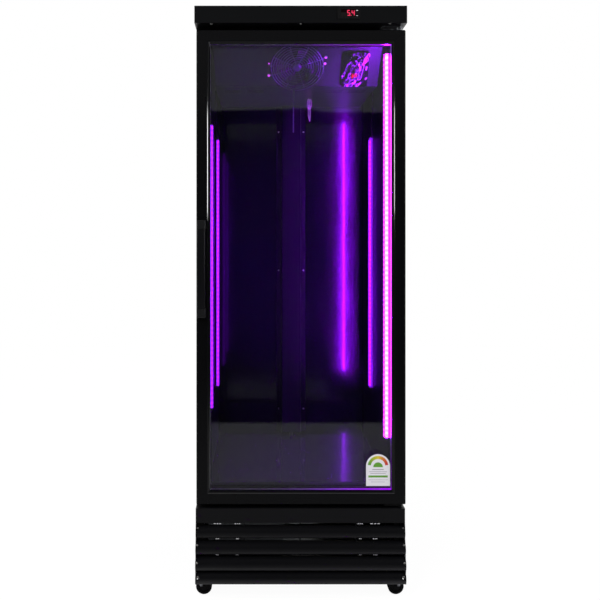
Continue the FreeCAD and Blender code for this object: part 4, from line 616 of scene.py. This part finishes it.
class CoolerLight(bpy.types.PropertyGroup):
    """Settings of the lamps, the room and the fan guard"""
    lens: FloatProperty(name="Lens", description="Camera focal length in millimetres", default=40.2, min=1.0,
                        unit="CAMERA")
    room: FloatProperty(name="Room light", description="Strength of the plain surrounding light",
                        default=0.55, min=0.0)
    surroundings: FloatProperty(name="Surroundings", description="Brightness of the reflected grey cards",
                                default=0.18, min=0.0, max=1.0, subtype="FACTOR")
    guard_wire: FloatProperty(name="Guard wire", description="Wire thickness of the fan guard",
                              default=0.0026, min=0.001, max=0.005, unit="LENGTH", precision=4)
    guard_rings: IntProperty(name="Guard rings", description="Rings of the fan guard", default=10, min=3,
                             max=16)
    lamp_colour: FloatVectorProperty(name="Lamp colour", description="Colour of the violet lamps",
                                     subtype="COLOR", size=3, default=(0.29, 0.006, 1.0), min=0.0, max=1.0)
    lamp_power: FloatProperty(name="Lamp power", description="Power per metre of lamp strip in watts",
                              default=4.8, min=0.0, unit="POWER")


class COOLER_OT_finishes(bpy.types.Operator):
    """Give every CAD node the finish of its material slot"""
    bl_idname = "cooler.finishes"
    bl_label = "Finishes"

    def execute(self, context):
        for node, obj in frame["nodes"].items():
            obj.data.materials.clear()
            obj.data.materials.append(finish(OWN_FINISH.get(node) or FINISHES[SLOT_OF[node]]))
        return {"FINISHED"}


def front_of(node, x, z):
    """How far forward the node's surface lies at that place."""
    start = Vector((x, CAD_BOX[0].y - 1, z))
    hit, place, _, _ = frame["nodes"][node].ray_cast(start, Vector((0, 1, 0)))
    if not hit:
        raise RuntimeError("no surface of %s at %.4f, %.4f" % (node, x, z))
    return place.y


def onto_slope(obj, x, up, out):
    """Turn a piece made flat at the origin, facing +Z, to stand on the evaporator cover's slope: up it
    from the fold, and out from it."""
    run = math.sqrt(0.5)
    obj.rotation_euler = (math.radians(135), 0, 0)
    obj.location = (x, FOLD_Y - run * (up + out), FOLD_Z + run * (up - out))
    return settle(obj)


def lamp_strips():
    """Each strip's name and the corners of its cover, read from the CAD node."""
    strips = {}
    for vertex in frame["nodes"]["lamp_diffusers"].data.vertices:
        x, y, z = vertex.co
        key = ("front" if y < -0.1 else "rear") + ("_right" if x > 0 else "_left")
        strips.setdefault(key, []).append((x, y, z))
    return {key: [Vector([pick(axis) for axis in zip(*places)]) for pick in (min, max)]
            for key, places in strips.items()}


class COOLER_OT_lamp_covers(bpy.types.Operator):
    """Round-backed covers over the diode strips, and glowing diode rows beside the strong one, painted light
    for its bright fringes
    """
    bl_idname = "cooler.lamp_covers"
    bl_label = "Lamp covers"

    def execute(self, context):
        sink = 0.0002  # into the wall
        covers = []
        for low, high in lamp_strips().values():
            side = 1 if low.x > 0 else -1
            wall = side * LINER_X
            middle = (low.y + high.y) / 2
            tube = drum((wall, middle, (low.z + high.z) / 2), 1.0, high.z - low.z, sides=32,
                        stretch=(LAMP_REACH, (high.y - low.y) / 2, 1))
            cut_away(tube, (wall - side * sink, middle, 0), (side, 0, 0))
            covers.append(soften(tube, 0.0015, 2, 60))
        cover = joined(covers)
        dress(cover, "lamp_covers", "frosted_lamp_cover", smooth=50)
        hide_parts("lamp_diffusers")

        low, high = lamp_strips()["front_right"]
        count = int((high.z - low.z) / DIODE_PITCH)
        first = low.z + DIODE_PITCH / 2
        deep, tall = DIODE_HALF
        # Painted light for the strong strip's fringes: one glowing row beside the cover's crown and one by
        # the gasket; x, y, half width
        rows = ((LINER_X - LAMP_REACH - 0.0030, (low.y + high.y) / 2, 0.0033),
                (LINER_X - sink, GASKET_BACK + 0.0065, 0.0026))
        for number, (x, y, half) in enumerate(rows):
            diode = soften(block((x - half, y - deep, first - tall), (x + half, y + deep, first + tall)),
                           0.0012)
            modify(diode, "ARRAY", count=count, use_relative_offset=False, use_constant_offset=True,
                   constant_offset_displace=(0, 0, DIODE_PITCH))
            narrow = half * 0.8
            ribbon = soften(block((x - narrow, y - 0.0008, low.z), (x + narrow, y + 0.0012, high.z)),
                            0.0004, 1)
            dress(diode, "diodes_%d" % number, "diode_painted_glow")
            dress(ribbon, "diode_ribbon_%d" % number, "ribbon_painted_glow")
        return {"FINISHED"}


class COOLER_OT_fan_guard(bpy.types.Operator):
    """Welded guard of round wire over the cabin fan: rings on spokes, a domed disc and two screw ears"""
    bl_idname = "cooler.fan_guard"
    bl_label = "Fan guard"

    def execute(self, context):
        look = context.scene.cooler
        wire = look.guard_wire / 2
        thick = wire * 1.2  # spokes, legs and ears
        parts = []
        for i in range(look.guard_rings):
            share = i / (look.guard_rings - 1)
            radius = GUARD_HUB + (GUARD_RADIUS - GUARD_HUB) * share
            edge = wire * 1.35 if i == look.guard_rings - 1 else wire
            dome = GUARD_DOME * math.cos(share * math.pi / 2)
            parts.append(ring((0, 0, GUARD_STANDOFF + dome), radius, edge))
        level = GUARD_STANDOFF - wire
        foot = GUARD_RADIUS + GUARD_LEG
        for i in range(GUARD_SPOKES):
            bars = [drum(((GUARD_RADIUS + GUARD_HUB) / 2, 0, level), thick,
                         GUARD_RADIUS - GUARD_HUB + 2 * wire, sides=10, turn=ALONG_X)]
            if i % (GUARD_SPOKES // 2) == 0:
                bars += [drum((foot, 0, GUARD_STANDOFF / 2), thick, GUARD_STANDOFF, sides=10),
                         drum((GUARD_RADIUS + GUARD_LEG / 2, 0, level), thick, GUARD_LEG, sides=10,
                              turn=ALONG_X),
                         ring((foot + GUARD_EAR_OUT, 0, wire), GUARD_EAR, thick, steps=20)]
            whole = joined(bars)
            whole.rotation_euler = (0, 0, GUARD_TURN + 2 * math.pi * i / GUARD_SPOKES)
            parts.append(settle(whole))
        disc = drum((0, 0, GUARD_STANDOFF + GUARD_DOME), GUARD_HUB + wire, GUARD_DISC, sides=40,
                    cone=GUARD_HUB * 0.8)
        parts.append(soften(disc, 0.0006))
        screws = []
        for x, up, radius in GUARD_SCREWS:
            deselect()
            bpy.ops.mesh.primitive_uv_sphere_add(segments=20, ring_count=12, radius=radius,
                                                 location=(x, up - GUARD_UP, 0.0020))
            screws.append(cut_away(settle(context.object), (0, 0, 0.0002), (0, 0, -1)))
        heads = onto_slope(joined(screws), 0, GUARD_UP, 0)
        # Painted glint: the caps glow pink
        dress(heads, "guard_screws", "nylon_cap_painted_glint", smooth=60)
        guard = onto_slope(joined(parts), 0, GUARD_UP, 0)
        dress(guard, "fan_guard_wires", "chromed_guard_wire", smooth=60)
        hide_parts("fan_guard")
        return {"FINISHED"}


class COOLER_OT_probe(bpy.types.Operator):
    """Straight probe tube hanging from the cover's fold, and its spare lead tied in a bundle behind"""
    bl_idname = "cooler.probe"
    bl_label = "Probe"

    def execute(self, context):
        x, y = PROBE_X, FOLD_Y + 0.004
        tube = drum((x, y, (PROBE_END + FOLD_Z) / 2), PROBE_RADIUS, FOLD_Z - PROBE_END, sides=20)
        collar = drum((x, y, FOLD_Z - COLLAR / 2), COLLAR_RADIUS, COLLAR, sides=20)
        parts = [soften(tube, 0.0008), soften(collar, 0.0006)]
        sheath = dress(joined(parts), "probe_tube", "chromed_guard_wire")
        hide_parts("probe_lead")

        x, y = BUNDLE_X, BUNDLE_Y
        loops = []
        for number, (shift, drop, half, tall) in enumerate(BUNDLE_LOOPS):
            lean = math.radians(14 * number - 25)
            deselect()
            bpy.ops.mesh.primitive_torus_add(
                location=(x + shift, y + 0.0022 * (number % 3), FOLD_Z - drop), rotation=(*ALONG_Y[:2], lean),
                major_radius=1.0, minor_radius=0.22, major_segments=32, minor_segments=10)
            context.object.scale = (half, tall, 0.009)
            loops.append(settle(context.object))
        tie = block((x - 0.0070, y - 0.0035, FOLD_Z - 0.0365), (x + 0.0062, y + 0.0075, FOLD_Z - 0.0330))
        loops.append(soften(tie, 0.0008))
        dress(joined(loops), "probe_lead_bundle", "pale_lead_sheath",
              smooth=60)
        return {"FINISHED"}


class COOLER_OT_dial(bpy.types.Operator):
    """Ribbed thermostat knob with its pointer, and the dots round it on the plate"""
    bl_idname = "cooler.dial"
    bl_label = "Thermostat dial"

    def execute(self, context):
        skirt = soften(drum((0, 0, KNOB_FOOT + 0.001), KNOB_RADIUS, 0.002, sides=KNOB_SIDES), 0.0006)
        grip = drum((0, 0, KNOB_FOOT + 0.0068), KNOB_RADIUS * 0.80, 0.0096, sides=KNOB_SIDES,
                    cone=KNOB_RADIUS * 0.74)
        pick_faces(grip, self.on_rib)
        bpy.ops.mesh.extrude_region_shrink_fatten(TRANSFORM_OT_shrink_fatten={"value": 0.0009})
        close_edit()
        soften(grip, 0.0004, 2, 25)
        pick_faces(grip, lambda face: face.normal.z > 0.9)
        bpy.ops.mesh.inset(thickness=0.0018, depth=-0.0008)
        close_edit()
        knob = onto_slope(joined([skirt, grip]), KNOB_X, KNOB_UP, 0)
        dress(knob, "dial_knob", "gloss_abs_black", "thermostat_dial")
        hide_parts("thermostat_knob")

        pointer = soften(block((-0.0007, 0.003, KNOB_FOOT + 0.0100), (0.0007, 0.0098, KNOB_FOOT + 0.0118)),
                         0.0003)
        onto_slope(pointer, KNOB_X, KNOB_UP, 0)
        dress(pointer, "dial_pointer", "white_paint", "thermostat_dial")

        dots = []
        for i in range(DIAL_DOTS):
            turn = math.radians(DIAL_START + DIAL_STEP * i)
            place = (DIAL_RADIUS * math.sin(turn), DIAL_RADIUS * math.cos(turn), PLATE_FACE + 0.0002)
            dots.append(soften(drum(place, 0.0007 + 0.00008 * i, 0.0005, sides=16), 0.00015, 1))
        scale = onto_slope(joined(dots), KNOB_X, KNOB_UP, 0)
        dress(scale, "dial_dots", "white_paint")
        return {"FINISHED"}

    @staticmethod
    def on_rib(face):
        """Whether a side face is one of the two in every four that stand out as a rib."""
        pitch = 2 * math.pi / KNOB_SIDES
        number = int(round(math.atan2(face.normal.y, face.normal.x) / pitch - 0.5))
        return abs(face.normal.z) < 0.5 and number % 4 < 2


class COOLER_OT_display(bpy.types.Operator):
    """Smoked lens with plain red figures, and the marks on the two buttons"""
    bl_idname = "cooler.display"
    bl_label = "Display"

    def execute(self, context):
        low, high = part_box("controller_window")
        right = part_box("controller_button_up")[0].x - 0.0008
        lens = block((low.x - 0.0004, low.y - 0.0006, low.z - 0.0003), (right, high.y, high.z + 0.0003))
        soften(lens, 0.0008, 3)
        dress(lens, "display_lens", "smoked_acrylic_lens")
        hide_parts("controller_window")

        width, height, stroke = FIGURE_WIDTH, FIGURE_HEIGHT, FIGURE_STROKE
        middle_z = (low.z + high.z) / 2 + 0.0008
        front, back = low.y - 0.0009, low.y - 0.0005
        parts = []
        for from_edge, lit in FIGURES:
            for side, level, lying in (FIGURE_BARS[number] for number in lit):
                x = right - from_edge + side * (width - stroke) / 2
                z = middle_z + level * (height - stroke) / 2
                half_x = (width / 2 - stroke * 0.55) if lying else stroke / 2
                half_z = stroke / 2 if lying else height / 4 - stroke * 0.35
                bar = block((x - half_x, front, z - half_z), (x + half_x, back, z + half_z))
                parts.append(soften(bar, 0.00015, 1))
        point = drum((right - POINT_FROM_EDGE, low.y - 0.0007, middle_z - height / 2 + 0.0012), POINT_RADIUS,
                     0.0004, sides=16, turn=ALONG_Y)
        parts.append(soften(point, 0.0001, 1))
        dress(joined(parts), "display_figures", "red_diode_figures")

        half, sink = 0.0026, 0.0002
        for body, tall in (("button_up", 0.0022), ("button_down", 0.0012)):
            button = "controller_" + body
            low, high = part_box(button)
            x, z = (low.x + high.x) / 2, (low.z + high.z) / 2
            mark = block((x - half, low.y - sink, z - tall / 2), (x + half, low.y + sink, z + tall / 2))
            soften(mark, 0.00015, 1)
            dress(mark, body + "_mark", "white_paint", body)
        return {"FINISHED"}


class COOLER_OT_grille_fittings(bpy.types.Operator):
    """Small screws at the louvres' ends, and pale spring clips under their edges as painted glints"""
    bl_idname = "cooler.grille_fittings"
    bl_label = "Grille fittings"

    def execute(self, context):
        low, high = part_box("front_grille")
        head = soften(drum((0, 0, 0), 0.0036, 0.0022, sides=24, turn=ALONG_Y, cone=0.0026), 0.0005)
        pick_faces(head, lambda face: face.normal.y < -0.9)
        bpy.ops.mesh.inset(thickness=0.0014, depth=-0.0007)
        close_edit()
        copies = []
        for z in GRILLE_SCREWS:
            for x in (low.x + GRILLE_SCREW_INSET, high.x - GRILLE_SCREW_INSET):
                copies.append(copy_of(head, (x, front_of("front_grille", x, z) - 0.0008, z)))
        bpy.data.objects.remove(head)
        dress(joined(copies), "louvre_screws", "zinc_screw_steel")

        # Painted glints: pale clips where the louvres' glints show
        clips = []
        for z, y, reach in GRILLE_CLIPS:
            for x, length in CLIP_PLACES:
                for part, share in CLIP_PARTS:
                    middle, half = x + part * length * reach, share * length * reach / 2
                    clip = block((middle - half, y, z), (middle + half, y + 0.0012, z + 0.0022))
                    clips.append(soften(clip, 0.0004, 1))
        dress(joined(clips), "louvre_painted_glints", "clip_painted_glint")
        return {"FINISHED"}


class COOLER_OT_label(bpy.types.Operator):
    """Plain rating sticker on the glass: an arched white tag with a coloured bow and blank bars"""
    bl_idname = "cooler.label"
    bl_label = "Sticker"

    def execute(self, context):
        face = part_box("glass_outer")[0].y
        left, right, bottom, top = LABEL_BOX
        middle, width = (left + right) / 2, right - left
        crown = top - width / 2
        paper = block((left, face - 0.0003, bottom), (right, face - 0.00005, crown))
        self.drop_faces(paper, lambda f: f.normal.z > 0.9)
        arch = drum((middle, face - 0.000175, crown), width / 2, 0.00025, sides=64, turn=ALONG_Y)
        cut_away(arch, (middle, face, crown), (0, 0, -1))
        self.drop_faces(arch, lambda f: f.normal.z < -0.9)
        tag = joined([paper, arch])
        modify(tag, "WELD", merge_threshold=0.00001)
        dress(tag, "sticker", "sticker_paper", "door", smooth=30)

        ink = face - 0.00036
        bow = [self.bow_piece(middle, crown, ink, i) for i in range(LABEL_STEPS)]
        hub = drum((middle, ink + LABEL_INK / 2, crown - HUB_DROP), HUB_RADIUS, LABEL_INK, sides=32,
                   turn=ALONG_Y)
        cut_away(hub, (middle, ink, crown - HUB_DROP), (0, 0, -1))
        dress(hub, "sticker_hub", sticker_ink(0.0), "door")
        for i, piece in enumerate(bow):
            dress(piece, "sticker_bow_%d" % i, sticker_ink(i / (LABEL_STEPS - 1)), "door")
        bars = [block((middle - half, ink, z), (middle + half, ink + LABEL_INK, z + height))
                for z, half, height in LABEL_BARS]
        for bar in bars:
            soften(bar, 0.00004, 1)
        dress(bars[0], "sticker_band", sticker_ink(0.0), "door")
        dress(joined(bars[1:]), "sticker_lines", "grey_ink", "door")
        return {"FINISHED"}

    @staticmethod
    def drop_faces(obj, test):
        """Delete the faces that pass the test."""
        pick_faces(obj, test)
        bpy.ops.mesh.delete(type="FACE")
        close_edit()

    @staticmethod
    def bow_piece(x, z, y, step):
        """One coloured block of the bow, between two angles."""
        span = BOW_SPAN / LABEL_STEPS
        length = 2 * BOW_INNER * math.tan(span / 2)
        piece = block((BOW_INNER, y, -length / 2), (BOW_OUTER, y + LABEL_INK, length / 2))
        pick_faces(piece, lambda face: face.normal.x > 0.9)
        bpy.ops.transform.resize(value=(1, 1, BOW_OUTER / BOW_INNER))
        close_edit()
        piece.rotation_euler = (0, span * (step + 0.5) - BOW_START, 0)
        piece.location = (x, 0, z)
        return settle(piece)


class COOLER_OT_spacer(bpy.types.Operator):
    """Stainless spacer between the panes, narrow enough to show only as an edge made bright by its painted
    glow
    """
    bl_idname = "cooler.spacer"
    bl_label = "Glass spacer"

    def execute(self, context):
        low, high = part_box("glass_spacer")
        inner_left, inner_right = low.x + SPACER_WIDTH, high.x - SPACER_WIDTH
        rail_left, rail_right = inner_left + SPACER_JOINT, inner_right - SPACER_JOINT
        bars = []
        for x0, x1, z0, z1 in ((low.x, inner_left, low.z, high.z), (inner_right, high.x, low.z, high.z),
                               (rail_left, rail_right, low.z, low.z + SPACER_RAIL),
                               (rail_left, rail_right, high.z - SPACER_RAIL, high.z)):
            bars.append(soften(block((x0, low.y, z0), (x1, high.y, z1)), 0.0004, 1))
        bar = dress(joined(bars), "spacer_bars", "warm_edge_spacer", "door")
        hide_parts("glass_spacer")
        return {"FINISHED"}


class COOLER_OT_glazing_bead(bpy.types.Operator):
    """Sloping bead round the glass with a rounded ridge that catches the light"""
    bl_idname = "cooler.glazing_bead"
    bl_label = "Glazing bead"

    def execute(self, context):
        rails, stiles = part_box("door_rails"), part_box("door_stiles")
        left, right = stiles[0].x + BEAD_INSET, stiles[1].x - BEAD_INSET
        bottom, top = rails[0].z + BEAD_INSET, rails[1].z - BEAD_INSET
        deselect()
        bpy.ops.mesh.primitive_plane_add(size=1.0, rotation=ALONG_Y,
                                         location=((left + right) / 2, FACE_Y + 0.0002, (bottom + top) / 2))
        context.object.scale = (right - left, top - bottom, 1)
        bead = settle(context.object)
        pick_faces(bead, lambda face: True)
        # Up to the ridge, along it, and down the 45 degree slope to the glass
        for thickness, depth in ((0.0026, 0.00138), (0.0030, 0.0), (0.0042, -0.0042)):
            bpy.ops.mesh.inset(thickness=thickness, depth=depth)
        bpy.ops.mesh.delete(type="FACE")
        close_edit()
        modify(bead, "SOLIDIFY", thickness=0.0007, offset=-1.0)
        soften(bead, 0.0003, 2, 20)
        dress(bead, "glazing_bead", "gloss_bead", "door", smooth=8)
        return {"FINISHED"}


def area_light(name, place, turn, size, power, colour=(1, 1, 1)):
    """Rectangular lamp that lights surfaces without showing in them."""
    data = bpy.data.lights.new(name, "AREA")
    data.shape = "RECTANGLE"
    data.size, data.size_y = size
    data.energy = power
    data.color = colour
    obj = bpy.data.objects.new(name, data)
    obj.location = place
    obj.rotation_euler = [math.radians(angle) for angle in turn]
    obj.visible_glossy = False
    bpy.context.scene.collection.objects.link(obj)


def white_world(strength):
    """Plain light all round. Camera, mirror and glass rays see white at strength 1."""
    world = bpy.data.worlds.new("room")
    bpy.context.scene.world = world
    world.use_nodes = True
    tree = world.node_tree
    tree.nodes.clear()
    path = add(tree, "ShaderNodeLightPath")
    seen = maths(tree, "MAXIMUM", path.outputs["Is Camera Ray"], path.outputs["Is Glossy Ray"])
    clear = maths(tree, "MAXIMUM", seen, path.outputs["Is Transmission Ray"])
    plain = add(tree, "ShaderNodeBackground", in_Color=(1, 1, 1, 1), in_Strength=strength)
    white = add(tree, "ShaderNodeBackground", in_Color=(1, 1, 1, 1), in_Strength=1.0)
    add(tree, "ShaderNodeOutputWorld", {"Surface": blend(tree, clear, plain, white)})


def pale_floor():
    """Matte white floor. The eye sees it nearly white, with a faint shadow."""
    material, tree = new_material("pale_floor")
    path = add(tree, "ShaderNodeLightPath")
    matte = add(tree, "ShaderNodeBsdfDiffuse", in_Color=(0.8, 0.8, 0.8, 1))
    bright = add(tree, "ShaderNodeEmission", in_Color=(1, 1, 1, 1), in_Strength=1.06)
    share = maths(tree, "MULTIPLY", path.outputs["Is Camera Ray"], 0.9)
    return closed(material, blend(tree, share, matte, bright))


def card(name, low, high, brightness):
    """Flat studio card between two corners, thin along the axis they share. It shows only in reflections."""
    low, high = Vector(low), Vector(high)
    size = high - low
    turn = ALONG_Y if size.y == 0 else ALONG_X if size.x == 0 else (0, 0, 0)
    deselect()
    bpy.ops.mesh.primitive_plane_add(size=1.0, location=(low + high) / 2, rotation=turn)
    obj = bpy.context.object
    obj.scale = (size.z if size.x == 0 else size.x, size.z if size.y == 0 else size.y, 1)
    settle(obj)
    obj.name = name
    material, tree = new_material(name)
    glow = add(tree, "ShaderNodeEmission", in_Color=(brightness, brightness, brightness, 1), in_Strength=1.0)
    obj.data.materials.append(closed(material, glow))
    for ray in ("camera", "diffuse", "transmission", "shadow"):
        setattr(obj, "visible_" + ray, False)
    return obj


class COOLER_OT_stage(bpy.types.Operator):
    """Floor, light, reflected surroundings and camera"""
    bl_idname = "cooler.stage"
    bl_label = "Stage"

    def execute(self, context):
        look = context.scene.cooler
        context.scene.view_settings.view_transform = "Standard"
        white_world(look.room)
        deselect()
        bpy.ops.mesh.primitive_plane_add(size=9.0, location=(0, 0, CAD_BOX[0].z))
        floor = context.object
        floor.name = "floor"
        floor.data.materials.append(pale_floor())
        self.place_cards(look.surroundings)
        area_light("key", (-1.6, -2.4, 3.0), (48, 0, -33), (1.6, 1.6), 45)
        area_light("fill", (2.2, -2.2, 2.2), (60, 0, 45), (1.6, 2.0), 25)
        self.place_camera(context.scene, look.lens)
        return {"FINISHED"}

    @staticmethod
    def place_cards(grey):
        """What gloss and glass reflect: a grey room, dark in front, with a tall softbox on each side."""
        far, ahead, over = FACE_Y - CARD_REACH, FACE_Y - DARK_REACH, FACE_Y + 0.1
        card("room_grey", (-5, far, -1.5), (5, far, 6), grey)
        card("floor_grey", (-5, far, 0.002), (5, FACE_Y - 0.12, 0.002), grey)
        card("room_dark", (-1.5, ahead, 0.03), (1.9, ahead, DARK_TOP), 0.004)
        # The dark card's upper edge rises a little towards the middle
        peak = card("room_dark_peak", (-1.5, ahead, DARK_TOP), (0.27, ahead, PEAK_TOP), 0.004)
        rise = DARK_TOP - PEAK_TOP
        cut_away(peak, (PEAK_X, ahead, PEAK_TOP), (rise, 0, 1.66))
        cut_away(peak, (PEAK_X, ahead, PEAK_TOP), (-rise, 0, 0.11))
        card("overhead_dark", (-4, far, 3.1), (4, over, 3.1), 0.02)
        for name, side, near, back in (("left", -1, 1.02, 1.34), ("right", 1, 0.82, 1.12)):
            card("softbox_" + name, (side * SOFTBOX_X, FACE_Y - back, SOFTBOX_LOW),
                 (side * SOFTBOX_X, FACE_Y - near, SOFTBOX_HIGH), SOFTBOX_GLOW)
            card("side_dark_" + name, (side * 2.4, far, -0.5), (side * 2.4, over, 3.1), 0.03)

    @staticmethod
    def place_camera(scene, lens):
        """Level camera in front of the door."""
        data = bpy.data.cameras.new("camera")
        data.lens = lens
        data.sensor_width = 36.0
        data.shift_x, data.shift_y = CAMERA_SHIFT
        camera = bpy.data.objects.new("camera", data)
        camera.location = (CAMERA_X, FACE_Y - CAMERA_BACK, CAMERA_Z)
        camera.rotation_euler = ALONG_Y
        scene.collection.objects.link(camera)
        scene.camera = camera


class COOLER_OT_lamps(bpy.types.Operator):
    """Violet light in front of each lamp strip"""
    bl_idname = "cooler.lamps"
    bl_label = "Lamps"

    def execute(self, context):
        look = context.scene.cooler
        for name, (low, high) in lamp_strips().items():
            if name == "front_right":  # its cover alone lights the inside
                continue
            side = 1 if low.x > 0 else -1
            place = (side * (LINER_X - LAMP_REACH - 0.006), (low.y + high.y) / 2, (low.z + high.z) / 2)
            length = high.z - low.z
            area_light("lamp_" + name, place, (0, 90 * side, 0), (length, 0.008), look.lamp_power * length,
                       look.lamp_colour)
        return {"FINISHED"}


class COOLER_PT_steps(bpy.types.Panel):
    """The build's steps and the settings they read"""
    bl_idname = "COOLER_PT_steps"
    bl_label = "Display cooler"
    bl_space_type = "VIEW_3D"
    bl_region_type = "UI"
    bl_category = "Cooler"

    def draw(self, context):
        for step in STEPS:
            self.layout.operator(step.bl_idname)
        for setting in CoolerLight.__annotations__:
            self.layout.prop(context.scene.cooler, setting)


# The pieces' operators, in the order they run
STEPS = [COOLER_OT_finishes, COOLER_OT_lamp_covers, COOLER_OT_spacer, COOLER_OT_glazing_bead,
         COOLER_OT_fan_guard, COOLER_OT_probe, COOLER_OT_dial, COOLER_OT_display,
         COOLER_OT_grille_fittings, COOLER_OT_label, COOLER_OT_lamps, COOLER_OT_stage]
CLASSES = [CoolerLight, *STEPS, COOLER_PT_steps]


def register():
    for kind in CLASSES:
        bpy.utils.register_class(kind)
    bpy.types.Scene.cooler = PointerProperty(type=CoolerLight)


def unregister():
    del bpy.types.Scene.cooler
    for kind in reversed(CLASSES):
        bpy.utils.unregister_class(kind)


def main():
    register()
    bpy.ops.cooler.finishes()
    bpy.ops.cooler.lamp_covers()
    bpy.ops.cooler.spacer()
    bpy.ops.cooler.glazing_bead()
    bpy.ops.cooler.fan_guard()
    bpy.ops.cooler.probe()
    bpy.ops.cooler.dial()
    bpy.ops.cooler.display()
    bpy.ops.cooler.grille_fittings()
    bpy.ops.cooler.label()
    bpy.ops.cooler.lamps()
    bpy.ops.cooler.stage()


if __name__ == "__main__":
    main()
